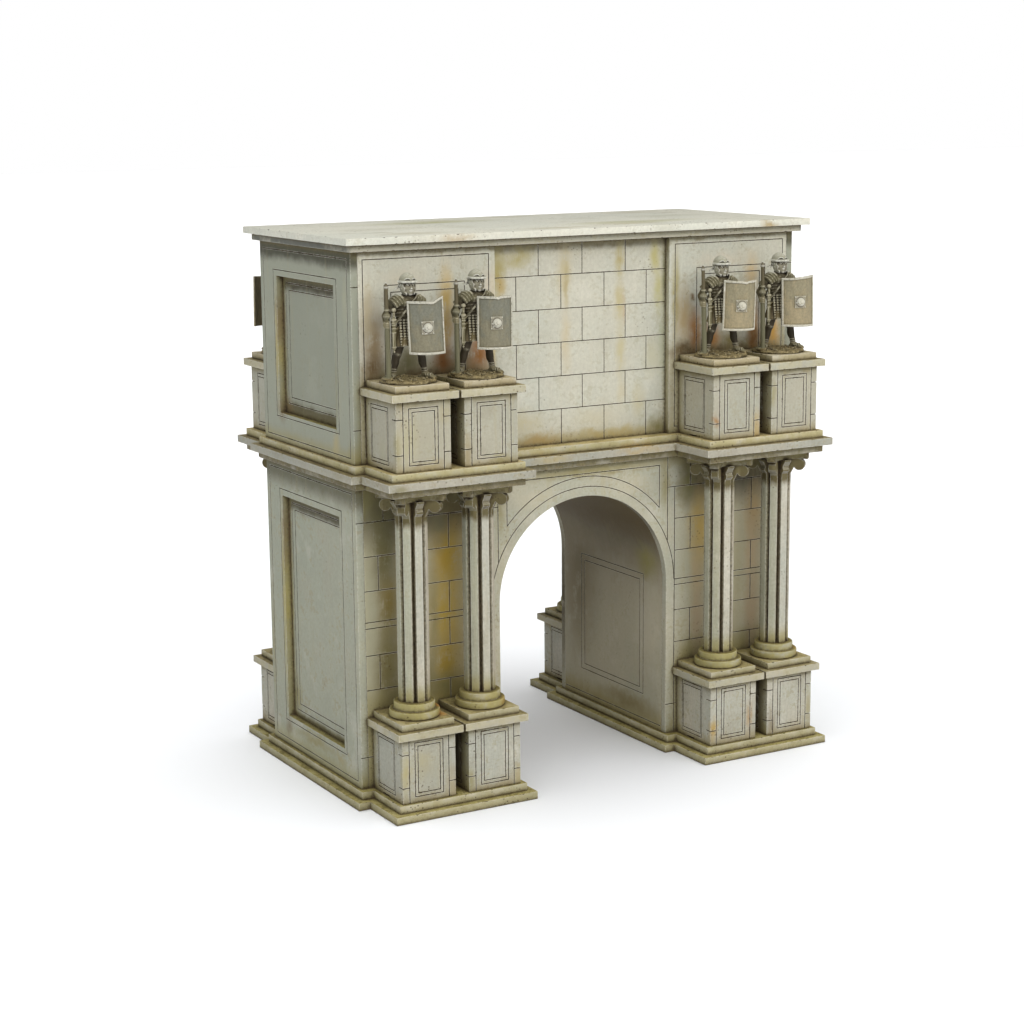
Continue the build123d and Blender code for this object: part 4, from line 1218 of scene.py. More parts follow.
    # --- neck, scarf, head
    F.rod((0, 0.3, 25.4), 1.75, (0.1, 0.0, 28.2), 1.45, 0.3)
    F.hoop((0, 0.1, 26.3), (1.70, 1.60), 0.42, 0.12, turn=spin("X", 12), flat=1.1)
    F.hoop((0, -0.05, 26.75), (1.50, 1.42), 0.30, 0.08, turn=spin("X", 16))
    F.egg((0.15, -1.75, 25.85), (0.5, 0.4, 0.55), 0.15)
    hx = 0.15
    F.egg((hx, -0.35, 29.55), (2.0, 2.35, 3.0), 0.3)                 # face and skull
    F.egg((hx, -0.8, 28.0), (1.62, 1.75, 1.45), 0.5)                 # jaw
    F.egg((hx, -2.15, 27.2), (0.72, 0.55, 0.5), 0.4)                 # chin
    for s in (-1, 1):
        F.egg((hx + s * 0.84, -2.42, 30.02), (0.50, 0.42, 0.36), 0.14, dig=True)
        F.egg((hx + s * 0.84, -2.22, 30.00), (0.36, 0.27, 0.20), 0.04)
        F.rod((hx + s * 0.45, -2.50, 30.50), 0.24, (hx + s * 1.30, -2.20, 30.44), 0.20, 0.2)
        F.rod((hx + s * 0.50, -2.44, 30.24), 0.11, (hx + s * 1.18, -2.22, 30.16), 0.10, 0.05)
        F.egg((hx + s * 1.10, -1.98, 29.05), (0.55, 0.45, 0.55), 0.35)
        F.egg((hx + s * 0.30, -2.76, 28.86), (0.22, 0.26, 0.19), 0.12)
    F.rod((hx, -2.45, 30.35), 0.24, (hx, -2.92, 28.98), 0.30, 0.18)
    F.egg((hx, -2.55, 28.24), (0.60, 0.26, 0.16), 0.14)
    F.egg((hx, -2.48, 27.84), (0.52, 0.26, 0.17), 0.14)
    F.rod((hx - 0.55, -2.66, 28.05), 0.07, (hx + 0.55, -2.66, 28.05), 0.07, 0.05, dig=True)

    # --- helmet
    def bowl(X, Y, Z):
        x, y, z = X - hx, Y - 0.1, Z - 30.75
        r = (2.62, 2.98, 3.05)
        a = np.sqrt((x / r[0]) ** 2 + (y / r[1]) ** 2 + (z / r[2]) ** 2)
        b = np.sqrt((x / r[0] ** 2) ** 2 + (y / r[1] ** 2) ** 2 + (z / r[2] ** 2) ** 2) + 1e-6
        d = a * (a - 1) / b
        low = np.where(Y < -0.6, 31.0, 31.0 - np.clip((Y + 0.6) * 0.75, 0, 1.9))
        return np.maximum(d, low - Z)
    F.join(bowl, (-3.2, -3.6, 28.6), (3.5, 3.8, 34.3), 0.05)
    # embossed brows and ridges
    for s in (-1, 1):
        pts = [(0.30, -3.02, 31.72), (0.85, -2.88, 32.20), (1.50, -2.52, 32.08), (1.90, -2.05, 31.70)]
        for a, b in zip(pts, pts[1:]):
            F.rod((hx + s * a[0], a[1] + 0.22, a[2]), 0.16, (hx + s * b[0], b[1] + 0.22, b[2]), 0.15, 0.08)
    for z, r in ((30.2, 3.04), (30.75, 3.12)):
        def rib(X, Y, Z, z=z, r=r):
            x, y = X - hx, Y - 0.1
            q_ = np.sqrt((x / (r - 0.32)) ** 2 + (y / r) ** 2) + 1e-6
            rad = (q_ - 1) * np.sqrt(x * x + y * y) / q_
            return np.maximum(np.sqrt(rad ** 2 + (Z - z) ** 2) - 0.15, 0.9 - Y)
        F.join(rib, (-3.6, 0.5, z - 0.3), (3.8, 3.8, z + 0.3), 0.05)
    # brow band with its small peak
    def brow(X, Y, Z):
        x, y, z = X - hx, Y - 0.1, Z - 31.12
        q_ = np.sqrt((x / 2.72) ** 2 + (y / 3.08) ** 2) + 1e-6
        rad = (q_ - 1) * np.sqrt(x * x + y * y) / q_
        wide = 0.22 + 0.26 * np.clip((-y - 1.2) / 2.0, 0, 1)
        return np.maximum(np.maximum(np.abs(rad - wide * 0.5) - wide, np.abs(z) - 0.28), Y - 0.9) - 0.07
    F.join(brow, (-3.8, -4.4, 30.6), (4.0, 1.2, 31.7), 0.04)
    # crest holder and knob
    F.egg((hx, 0.1, 33.68), (0.5, 0.7, 0.24), 0.1)
    # neck guard
    def nape(X, Y, Z):
        x, y = X - hx, Y - 0.4
        rr = np.sqrt((x / 1.02) ** 2 + y * y)
        z0 = 29.2 - 0.32 * np.clip(rr - 2.6, 0, 3)
        return np.maximum(np.maximum(np.abs(Z - z0) - 0.20, rr - 3.75), np.maximum(2.15 - rr, 0.9 - Y)) - 0.05
    F.join(nape, (-4.4, 0.7, 27.9), (4.7, 4.9, 29.7), 0.1)
    F.rod((hx - 2.3, 1.7, 29.4), 0.25, (hx - 2.5, 0.4, 30.6), 0.25, 0.2)
    F.rod((hx + 2.3, 1.7, 29.4), 0.25, (hx + 2.5, 0.4, 30.6), 0.25, 0.2)
    for s in (-1, 1):
        F.hoop((hx + s * 2.58, 0.05, 30.15), (0.52, 0.62), 0.17, 0.05, turn=spin("Y", 90))
    # cheek guards
    guard_pts = [(-1.75, 30.95), (0.75, 30.95), (0.85, 29.6), (0.35, 28.2), (-0.7, 27.15), (-2.05, 26.75),
                 (-2.35, 27.45), (-1.75, 28.05), (-2.05, 28.7), (-2.15, 29.2), (-1.55, 29.75), (-1.35, 30.4)]

    def cheeks(X, Y, Z):
        x, y, z = X - hx, Y + 0.35, Z - 29.3
        r = (2.36, 2.62, 3.6)
        a = np.sqrt((x / r[0]) ** 2 + (y / r[1]) ** 2 + (z / r[2]) ** 2)
        b = np.sqrt((x / r[0] ** 2) ** 2 + (y / r[1] ** 2) ** 2 + (z / r[2] ** 2) ** 2) + 1e-6
        d = np.abs(a * (a - 1) / b) - 0.18
        o = outline(Y + 0 * Z, Z + 0 * Y, guard_pts)
        rim = np.where(o > -0.30, 0.07, 0.0)
        return np.maximum(np.maximum(d - rim, o), 1.15 - np.abs(x))
    F.join(cheeks, (-3.0, -3.0, 26.5), (3.3, 1.1, 31.1), 0.04)
    for s in (-1, 1):
        F.egg((hx + s * 2.35, -0.75, 28.9), (0.30, 0.34, 0.34), 0.05)

    # --- right arm, holding the javelin
    shR, elR, haR = (-5.1, 0.5, 23.9), (-6.9, 2.0, 20.2), (-8.1, -0.5, 17.7)
    F.rod(shR, 1.55, elR, 1.12, 0.3)
    F.rod(elR, 1.10, haR, 0.72, 0.35)

    def sleeve(X, Y, Z):
        ax, ay, az = shR
        dx, dy, dz = elR[0] - ax, elR[1] - ay, elR[2] - az
        L = math.sqrt(dx * dx + dy * dy + dz * dz)
        dx, dy, dz = dx / L, dy / L, dz / L
        t = (X - ax) * dx + (Y - ay) * dy + (Z - az) * dz
        px, py, pz = X - ax - t * dx, Y - ay - t * dy, Z - az - t * dz
        rr = np.sqrt(px * px + py * py + pz * pz)
        th = np.arctan2(py, px)
        return np.maximum(rr - (1.55 + 0.16 * t + 0.14 * np.sin(6 * th) * np.clip(t, 0, 2)), np.maximum(t - 2.1, -t - 0.5))
    F.join(sleeve, (-8.2, -1.6, 20.4), (-3.2, 3.4, 25.2), 0.1)
    hand = (-8.0, -1.1, 17.6)
    F.egg((-8.15, -0.75, 17.6), (0.95, 0.85, 0.95), 0.3)
    for i in range(4):
        z = 18.30 - 0.45 * i
        F.rod((-8.95, -1.15, z), 0.25, (-8.35, -1.98, z - 0.03), 0.26, 0.06)
        F.rod((-8.35, -1.98, z - 0.03), 0.26, (-7.45, -1.85, z - 0.05), 0.23, 0.06)
    F.rod((-7.35, -0.8, 18.3), 0.28, (-7.5, -1.75, 18.75), 0.26, 0.08)
    # javelin: wooden shaft, round weight, iron shank and head
    bx, by, tx, ty = -7.55, -1.05, -8.05, -1.15

    def jp(z):
        t = z / 31.3
        return (bx + (tx - bx) * t, by + (ty - by) * t, z)
    F.rod(jp(0.0), 0.86, jp(16.5), 0.84, 0.1)
    F.rod(jp(16.5), 0.84, jp(18.6), 0.72, 0.1)
    F.block(jp(19.1), (0.66, 0.66, 0.55), 0.15, 0.05, turn=spin("Z", 30))
    F.egg(jp(20.45), (1.22, 1.22, 1.12), 0.08)
    F.hoop(jp(20.45), 1.16, 0.16, 0.03)
    F.rod(jp(21.4), 0.60, jp(22.0), 0.60, 0.1)
    F.egg(jp(22.45), (0.86, 0.86, 0.62), 0.08)
    F.rod(jp(22.9), 0.66, jp(28.8), 0.60, 0.05)
    F.rod(jp(28.8), 0.60, jp(29.6), 0.78, 0.1)
    F.rod(jp(29.6), 0.78, jp(31.3), 0.12, 0.1)
    F.hoop(jp(0.6), 0.84, 0.14, 0.03)

    # --- left arm, behind the shield
    shL, elL, haL = (5.0, 0.4, 23.9), (6.6, -1.2, 19.3), (3.5, -7.0, 17.0)
    F.rod(shL, 1.55, elL, 1.12, 0.3)
    F.rod(elL, 1.10, haL, 0.75, 0.35)
    F.egg(haL, (1.0, 0.85, 0.85), 0.2)
    F.rod((1.7, -7.45, 17.0), 0.34, (5.1, -7.9, 17.0), 0.34, 0.1)
    F.rod((5.9, 0.1, 23.0), 1.75, (6.35, 0.0, 21.9), 1.85, 0.15)

    # --- belt, apron, baldric, sword
    F.hoop((0, 0.15, 16.75), (3.62, 3.02), 0.26, 0.06, flat=2.0)
    for i in range(20):
        a = 2 * math.pi * i / 20
        F.egg((3.80 * math.cos(a), 0.15 + 3.20 * math.sin(a), 16.75), (0.26, 0.26, 0.24), 0.03)
    for x in (-3.65, -2.6, -1.55, -0.5, 0.55, 1.6):
        def front(z):
            t = (19.2 - z) / 7.9
            return (x, -3.15 + 0.085 * x * x - 0.95 * t ** 1.3, z)
        for z in np.arange(11.2, 19.2, 0.55):
            p = front(z)
            F.block((p[0], p[1] + 0.02, p[2]), (0.36, 0.22, 0.34), 0.08, 0.0)
        for j in range(10):
            z = 11.35 + 0.86 * j
            p = front(z)
            F.block((p[0], p[1] - 0.20, z), (0.46, 0.22, 0.25), 0.14, 0.02)
    # baldric over the left shoulder to the right hip
    pts = [(2.7, -1.5, 26.5), (1.3, -2.85, 25.5), (-0.6, -3.45, 24.0), (-2.2, -3.50, 22.2), (-3.8, -3.05, 20.3), (-5.4, -2.5, 18.5)]
    for a, b in zip(pts, pts[1:]):
        for o in (-0.42, -0.14, 0.14, 0.42):
            F.rod((a[0] + o * 0.7, a[1], a[2] + o), 0.24, (b[0] + o * 0.7, b[1], b[2] + o), 0.24, 0.0)
    pts = [(2.7, 1.4, 26.4), (1.4, 3.0, 24.8), (-0.6, 3.45, 22.6), (-3.0, 2.9, 20.2), (-5.0, 1.2, 18.6), (-5.5, -0.8, 18.3)]
    for a, b in zip(pts, pts[1:]):
        for o in (-0.42, -0.14, 0.14, 0.42):
            F.rod((a[0] + o * 0.7, a[1], a[2] + o), 0.24, (b[0] + o * 0.7, b[1], b[2] + o), 0.24, 0.0)
    sx, sy = -6.1, -2.35
    F.egg((sx + 0.1, sy, 22.4), (0.76, 0.74, 0.72), 0.0)
    F.rod((sx + 0.08, sy, 21.9), 0.36, (sx, sy, 19.7), 0.36, 0.05)
    for z in (21.4, 20.9, 20.4):
        F.hoop((sx + 0.04, sy, z), 0.36, 0.13, 0.02)
    F.egg((sx, sy, 19.3), (0.98, 0.74, 0.62), 0.05)
    F.block((sx, sy, 14.4), (0.62, 0.36, 4.5), 0.25, 0.0)
    F.rod((sx, sy, 10.2), 0.5, (sx, sy, 9.4), 0.22, 0.1)
    F.egg((sx, sy, 9.1), (0.34, 0.34, 0.34), 0.05)
    for z in (18.35, 17.6, 16.5, 15.2, 10.6):
        F.block((sx, sy, z), (0.74, 0.48, 0.17), 0.12, 0.0)
    F.rod((sx + 0.5, sy, 16.2), 0.3, (-3.6, -1.6, 16.8), 0.3, 0.1)
    # dagger on the left hip
    F.block((4.35, -0.9, 14.2), (0.30, 0.62, 2.1), 0.2, 0.05, turn=spin("Y", -8))
    F.egg((4.1, -0.9, 17.6), (0.36, 0.5, 0.34), 0.05)
    F.rod((4.1, -0.9, 17.3), 0.24, (4.2, -0.9, 16.3), 0.26, 0.05)

    # --- ground
    def ground(X, Y, Z):
        th = np.arctan2(Y, X)
        R = 9.15 + 0.20 * np.sin(3 * th + 1.0) + 0.14 * np.sin(7 * th + 0.4) + 0.08 * np.sin(13 * th)
        top = 0.0 + 0.22 * grip_noise(X, Y, 0 * Z, 1.3, 3) + 0.12 * grip_noise(X, Y, 0 * Z, 3.1, 4)
        r = np.sqrt(X * X + Y * Y)
        side = r - R - 0.15 * grip_noise(X, Y, Z, 2.3, 8)
        top = top - 0.55 * np.clip((r - 7.6) / 1.8, 0, 1) ** 2
        return np.maximum(np.maximum(Z - top, side), -1.2 - Z)
    F.join(ground, (-9.9, -9.9, -1.3), (9.9, 9.9, 0.6), 0.12)
    for i in range(70):
        a, r = q.uniform(0, 6.283), 8.3 * math.sqrt(q.uniform(0.05, 1))
        s = q.uniform(0.22, 0.6)
        F.egg((r * math.cos(a), r * math.sin(a), 0.05 + 0.2 * s), (s * q.uniform(0.8, 1.4), s * q.uniform(0.8, 1.4), s * 0.7), 0.06)
    for i in range(16):
        x, y = -7.9 + q.normal() * 0.9, -0.4 + q.normal() * 1.1
        if math.hypot(x, y) > 8.9:
            continue
        s = q.uniform(0.35, 0.8)
        F.egg((x, y, 0.3 + 0.4 * q.uniform(0, 1)), (s, s * q.uniform(0.7, 1.1), s * 0.85), 0.06)
    # the foot of the casting is flat
    F.d[:, :, : int(round((-1.2 - F.lo[2]) / h))] = 1.0
    return F.skin()


SHIELD_AT = (2.45, -9.4, 16.9)     # as in the CAD part, from the figure's axis
SHIELD_W, SHIELD_L, SHIELD_R, SHIELD_A = 12.1, 17.7, 7.76, -16.0


def scutum(kind, h=0.12):
    """Curved rectangular shield with a rim and a boss, outermost point at the origin."""
    F = Field((-7.0, -2.1, -9.9), (7.0, 5.4, 9.9), h)
    R, hw, hl = SHIELD_R, SHIELD_W / 2, SHIELD_L / 2
    top = {0: ((-6.1, -0.15), (-3.0, -0.2), (0.0, -0.38), (1.3, -0.60), (2.2, -0.58), (3.2, -0.15), (4.6, 0.45), (6.1, 0.85)),
           1: ((-6.1, -0.05), (-1.0, -0.15), (0.6, -0.45), (1.3, -0.1), (6.1, 0.0)),
           2: ((-6.1, 0.0), (-0.5, -0.2), (1.6, -0.5), (2.4, -0.15), (6.1, 0.1)),
           3: ((-6.1, -0.3), (-3.0, -0.25), (0.0, -0.05), (3.5, 0.2), (6.1, 0.35))}[kind]
    low = {0: ((-6.1, 0.35), (-1.0, 0.05), (3.0, -0.05), (6.1, -0.1)), 1: ((-6.1, 0.1), (6.1, 0.0)),
           2: ((-6.1, -0.05), (6.1, 0.15)), 3: ((-6.1, 0.15), (6.1, -0.25))}[kind]

    def panel(X, Y, Z):
        rr = np.sqrt(X * X + (Y - R) ** 2)
        arc = np.arctan2(X, R - Y) * R
        end = math.asin(hw / R) * R
        zt = hl - 0.1 + np.interp(X, [p[0] for p in top], [p[1] for p in top])
        zb = -hl + 0.1 + np.interp(X, [p[0] for p in low], [p[1] for p in low])
        wob = 0.05 * grip_noise(X, Y, Z, 0.55, 20 + kind)
        edge = np.maximum(np.maximum(Z - zt, zb - Z), np.abs(arc) - end + wob)
        rim = np.clip((edge + 0.86) / 0.10, 0, 1)
        tool = 0.022 * grip_noise(X, Y, Z, 3.4, 40 + kind) + 0.016 * grip_noise(X, Y, Z, 6.5, 50 + kind)
        outer = R - 0.38 + 0.36 * rim + tool - 0.09 * np.clip((edge + 1.25) / 0.35, 0, 1) * (1 - rim)
        shell = np.maximum(rr - outer, (R - 0.80) - rr)
        k = 0.28
        e = np.maximum(k - np.abs(shell - edge), 0) / k
        return np.maximum(shell, edge) + e * e * k * 0.25
    F.join(panel, (-7, -0.6, -9.9), (7, 5.4, 9.9))
    # boss plate follows the curve
    def plate(X, Y, Z):
        rr = np.sqrt(X * X + (Y - R) ** 2)
        arc = np.arctan2(X, R - Y) * R
        edge = np.maximum(np.abs(arc) - 2.08, np.abs(Z) - 2.08)
        shell = np.maximum(rr - (R - 0.02 + 0.05 * np.clip((edge + 0.5) / 0.2, 0, 1)), (R - 0.7) - rr)
        k = 0.16
        e = np.maximum(k - np.abs(shell - edge), 0) / k
        return np.maximum(shell, edge) + e * e * k * 0.25
    F.join(plate, (-2.6, -0.6, -2.6), (2.6, 1.4, 2.6), 0.06)
    F.hoop((0, 0.02, 0), 1.72, 0.16, 0.05, turn=spin("X", 90))
    F.egg((0, 0.0, 0), (1.55, 1.40, 1.55), 0.06)
    for x in (-1.74, 1.74):
        for z in (-1.74, 1.74):
            F.egg((x, 0.02 + 0.5 * x * x / R, z), (0.24, 0.22, 0.24), 0.03)
    # grip behind
    F.rod((-2.4, 1.75, 0), 0.3, (2.4, 1.75, 0), 0.3, 0.1)
    for x in (-2.4, 2.4):
        F.rod((x, 1.3, 0), 0.3, (x, 1.75, 0), 0.3, 0.1)
    return F.skin()


def as_object(name, V, F, tris, mat):
    """Field skin to a smooth mesh of about this many triangles."""
    me = bpy.data.meshes.new(name)
    me.from_pydata((V * MM).tolist(), [], F.tolist())
    ob = fresh(name, me)
    m = ob.modifiers.new("thin", "DECIMATE")
    m.ratio = min(1.0, tris / (2.0 * len(F)))
    new = bpy.data.meshes.new_from_object(ob.evaluated_get(bpy.context.evaluated_depsgraph_get()))
    ob.modifiers.clear()
    ob.data = new
    for p in new.polygons:
        p.use_smooth = True
    new.materials.append(mat)
    return ob


def zone(g, base, mask, colour):
    return g.mix(mask, base, colour)


def figure_paint(name):
    """Cast soldier: base colours by zone, painted shade on legs and face, brown-black wash with painted shade in the
    recesses, painted top light and pale dry brush.
    """
    mat = bpy.data.materials.new(name)
    mat.use_nodes = True
    g = Graph(mat.node_tree)
    bsdf = mat.node_tree.nodes["Principled BSDF"]
    tc = g.node("ShaderNodeTexCoord")
    P = g.v("MULTIPLY", tc.outputs["Object"], (1000.0, 1000.0, 1000.0))
    sp = g.node("ShaderNodeSeparateXYZ")
    g.put(sp.inputs[0], P)
    x, y, z = sp.outputs
    geo = g.node("ShaderNodeNewGeometry")
    sn = g.node("ShaderNodeSeparateXYZ")
    g.put(sn.inputs[0], geo.outputs["Normal"])
    up = sn.outputs[2]
    mid = g.noise(P, 0.55, 4, 0.6)
    fine = g.noise(P, 2.2, 4, 0.65)
    grain = g.noise(P, 8.0, 2, 0.7)

    col = g.mix(g.span(mid, 0.35, 0.65), (0.054, 0.044, 0.020), (0.086, 0.071, 0.033))      # trunk
    skirt = g.times(g.span(z, 17.1, 16.7), g.span(z, 10.2, 10.7))
    col = zone(g, col, skirt, (0.124, 0.095, 0.039))
    # legs darkest: their paint with painted shade under the skirt and shield
    legs = g.span(z, 11.2, 10.5)
    col = zone(g, col, legs, (0.040, 0.030, 0.014))
    feet = g.times(g.span(z, 2.7, 2.0), g.span(z, 0.25, 0.5))
    col = zone(g, col, feet, (0.173, 0.151, 0.084))
    arms = g.times(g.span(g.m("ABSOLUTE", x), 4.6, 5.0), g.span(z, 22.6, 22.2), g.span(z, 15.6, 16.0), g.span(y, -1.4, -0.9))
    col = zone(g, col, arms, (0.086, 0.070, 0.033))
    col = zone(g, col, g.times(g.span(g.m("ABSOLUTE", x), 2.0, 2.4), g.span(z, 23.2, 23.8)), (0.124, 0.111, 0.058))
    head = g.span(z, 26.6, 27.0)
    col = zone(g, col, head, (0.330, 0.322, 0.245))
    # face warmer and a little darker than the helmet: skin tone with painted shade under the brim
    face = g.times(head, g.span(z, 30.95, 30.7), g.span(y, -0.9, -1.4), g.span(g.m("ABSOLUTE", x), 2.3, 2.0))
    col = zone(g, col, face, (0.262, 0.242, 0.172))
    sword = g.times(g.span(x, -7.0, -6.85), g.span(x, -5.0, -5.2), g.span(y, -1.5, -1.7), g.span(z, 8.5, 8.9), g.span(z, 23.6, 23.2))
    col = zone(g, col, sword, (0.153, 0.136, 0.073))
    pole = g.times(g.span(x, -6.75, -6.95), g.span(y, 0.2, -0.1), g.span(z, 0.5, 0.9))
    polec = g.mix(g.span(g.total(z, g.times(mid, 3.0)), 17.0, 24.0), (0.150, 0.142, 0.082), (0.110, 0.092, 0.050))
    col = zone(g, col, pole, polec)
    ball = g.times(pole, g.span(z, 19.2, 19.5), g.span(z, 23.1, 22.8))
    col = zone(g, col, ball, (0.135, 0.123, 0.069))
    hand = g.times(g.span(x, -6.9, -7.1), g.span(z, 16.5, 16.8), g.span(z, 19.0, 18.7))
    col = zone(g, col, hand, (0.190, 0.164, 0.092))
    soil = g.mix(g.span(g.total(g.times(mid, 0.6), g.times(fine, 0.4)), 0.40, 0.60), (0.100, 0.075, 0.030), (0.300, 0.240, 0.115))
    col = g.mix(g.span(z, 0.75, 0.35), col, soil)

    # brighter on faces turned up, darker on those turned down: painted top light and shade
    lum = g.total(0.88, g.times(g.m("SUBTRACT", fine, 0.5), 0.30), g.times(up, 0.14))
    lc = g.node("ShaderNodeCombineColor")
    for q in lc.inputs[:3]:
        g.put(q, lum)
    col = g.mix(1.0, col, lc.outputs[0], "MULTIPLY")

    # dark in the recesses from the occlusion masks: the real wash, with painted shade
    wide = g.occl(3.2, 6)
    near = g.occl(0.9, 5)
    w1 = g.times(g.span(g.total(wide, g.times(g.m("SUBTRACT", mid, 0.5), 0.3)), 0.84, 0.36), 0.80)
    col = g.mix(w1, col, (0.042, 0.031, 0.017))
    w2 = g.times(g.span(g.total(near, g.times(g.m("SUBTRACT", fine, 0.5), 0.3)), 0.80, 0.36), 0.90)
    col = g.mix(w2, col, (0.022, 0.016, 0.010))
    pt = geo.outputs["Pointiness"]
    e1 = g.times(g.span(g.total(pt, g.times(g.m("SUBTRACT", fine, 0.5), 0.05)), 0.515, 0.575), g.span(near, 0.42, 0.75), 0.72)
    soil_off = g.span(z, 0.9, 1.3)
    col = g.mix(g.times(e1, g.mix(soil_off, (0.25, 0.25, 0.25), (1.0, 1.0, 1.0))), col, g.mix(head, (0.420, 0.390, 0.285), (0.720, 0.715, 0.650)))
    # pale on upward faces open above: the dry brush of the paint job with painted top light
    e2 = g.times(g.span(up, 0.45, 0.95), g.span(wide, 0.50, 0.88), g.span(fine, 0.40, 0.62), 0.40)
    col = g.mix(g.times(e2, soil_off), col, g.mix(head, (0.420, 0.390, 0.290), (0.620, 0.610, 0.530)))
    g.put(bsdf.inputs["Base Color"], col)
    g.put(bsdf.inputs["Roughness"], g.total(0.60, g.times(g.m("SUBTRACT", fine, 0.5), 0.3)))
    bsdf.inputs["Specular IOR Level"].default_value = 0.3
    bump = g.node("ShaderNodeBump")
    bump.inputs["Strength"].default_value = 0.35
    bump.inputs["Distance"].default_value = 0.05 * MM
    g.put(bump.inputs["Height"], g.total(g.times(grain, 0.5), fine))
    g.put(bsdf.inputs["Normal"], bump.outputs[0])
    return mat


def shield_paint(name, cold, warm, mixed):
    """Brushed shield face, pale rim and boss, dark wash and painted shade beside them."""
    mat = bpy.data.materials.new(name)
    mat.use_nodes = True
    g = Graph(mat.node_tree)
    bsdf = mat.node_tree.nodes["Principled BSDF"]
    tc = g.node("ShaderNodeTexCoord")
    P = g.v("MULTIPLY", tc.outputs["Object"], (1000.0, 1000.0, 1000.0))
    geo = g.node("ShaderNodeNewGeometry")
    sp = g.node("ShaderNodeSeparateXYZ")
    g.put(sp.inputs[0], P)
    x, y, z = sp.outputs
    rr = g.v("LENGTH", g.v("MULTIPLY", g.v("SUBTRACT", P, (0.0, SHIELD_R, 0.0)), (1.0, 1.0, 0.0)))
    mid = g.noise(P, 0.30, 4, 0.6)
    fine = g.noise(P, 1.5, 5, 0.65)
    grain = g.noise(P, 7.0, 2, 0.7)
    brush = g.noise(g.v("MULTIPLY", P, (1.0, 1.0, 0.25)), 1.6, 3, 0.6)
    col = g.mix(g.span(g.total(mid, g.times(g.m("SUBTRACT", z, 0.0), -0.012)), 0.36, 0.64), cold, warm)
    lum = g.total(1.0, g.times(g.m("SUBTRACT", fine, 0.5), 0.80), g.times(g.m("SUBTRACT", brush, 0.5), 0.50), g.times(g.m("SUBTRACT", grain, 0.5), 0.30))
    lc = g.node("ShaderNodeCombineColor")
    for q in lc.inputs[:3]:
        g.put(q, lum)
    col = g.mix(1.0, col, lc.outputs[0], "MULTIPLY")
    near = g.occl(0.8, 6)
    wide = g.occl(2.6, 6)
    raised = g.span(g.total(rr, g.times(g.m("SUBTRACT", fine, 0.5), 0.06)), SHIELD_R - 0.22, SHIELD_R - 0.10)
    back = g.span(rr, SHIELD_R - 0.62, SHIELD_R - 0.72)
    # broad darkening from the wider occlusion mask: painted shade
    col = g.mix(g.times(g.span(wide, 0.90, 0.55), mixed), col, (0.170, 0.145, 0.080))
    col = g.mix(g.times(back, 0.75), col, (0.120, 0.100, 0.060))
    far = g.v("LENGTH", g.v("MULTIPLY", P, (1.0, 0.0, 1.0)))
    square = g.times(g.span(g.m("ABSOLUTE", x), 2.5, 2.3), g.span(g.m("ABSOLUTE", z), 2.5, 2.3))
    pale = g.mix(square, (0.500, 0.480, 0.400), (0.345, 0.325, 0.250))
    pale = g.mix(g.span(far, 1.62, 1.42), pale, (0.560, 0.545, 0.460))
    col = g.mix(g.times(raised, g.span(fine, 0.26, 0.52), 0.88), col, pale)
    col = g.mix(g.times(g.span(far, 1.98, 1.78), g.span(far, 1.42, 1.58), 0.70), col, (0.085, 0.070, 0.044))
    # dark in the crevices by the near occlusion mask: wash with painted shade
    col = g.mix(g.times(g.span(g.total(near, g.times(g.m("SUBTRACT", fine, 0.5), 0.25)), 0.80, 0.45), 0.88), col, (0.045, 0.034, 0.022))
    pt = geo.outputs["Pointiness"]
    e1 = g.times(g.span(pt, 0.515, 0.56), raised, 0.7)
    col = g.mix(e1, col, (0.680, 0.665, 0.590))
    g.put(bsdf.inputs["Base Color"], col)
    g.put(bsdf.inputs["Roughness"], g.total(0.62, g.times(g.m("SUBTRACT", fine, 0.5), 0.25)))
    bsdf.inputs["Specular IOR Level"].default_value = 0.3
    bump = g.node("ShaderNodeBump")
    bump.inputs["Strength"].default_value = 0.45
    bump.inputs["Distance"].default_value = 0.06 * MM
    g.put(bump.inputs["Height"], g.total(g.times(grain, 0.4), fine, g.times(brush, 0.5)))
    g.put(bsdf.inputs["Normal"], bump.outputs[0])
    return mat


M_FIGURE = figure_paint("paint_figure")
M_SHIELD_A = shield_paint("paint_shield_grey", (0.165, 0.165, 0.128), (0.196, 0.180, 0.122), 0.85)
M_SHIELD_B = shield_paint("paint_shield_buff", (0.245, 0.218, 0.140), (0.300, 0.250, 0.152), 0.75)

FIG_V, FIG_F = soldier()
first = as_object("soldier", FIG_V, FIG_F, 50000, M_FIGURE)
casts = [as_object("scutum", *scutum(k), 15000, M_SHIELD_A if k < 2 else M_SHIELD_B) for k in range(4)]
Z_SOLE = lohi("front_statues")[0][2] + 1.2

for side, half in (("front", 0.0), ("rear", 180.0)):
    for i, (cx, lean, yaw, cock) in enumerate(((-73.85, 0.0, 0.0, -2.0), (-49.0, 0.5, 1.5, -0.3),
                                              (49.0, -1.0, -1.0, 2.4), (73.85, -0.4, 0.8, -0.6))):
        whole = Matrix.Rotation(math.radians(half), 4, "Z")
        foot = Matrix.Translation(Vector((cx, -COL_Y, Z_SOLE)) * MM)
        stand = whole @ foot @ Matrix.Rotation(math.radians(yaw), 4, "Z") @ Matrix.Rotation(math.radians(lean), 4, "Y")
        man = fresh("%s_statue_%d" % (side, i + 1), first.data)
        man.matrix_world = stand
        plate = fresh("%s_shield_%d" % (side, i + 1), casts[i].data)
        plate.matrix_world = (stand @ Matrix.Translation(Vector(SHIELD_AT) * MM)
                              @ Matrix.Rotation(math.radians(SHIELD_A), 4, "Z") @ Matrix.Rotation(math.radians(cock), 4, "Y"))
        for ob, node in ((man, side + "_statues"), (plate, side + "_statue_shields")):
            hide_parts(node)
            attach(ob, "root")
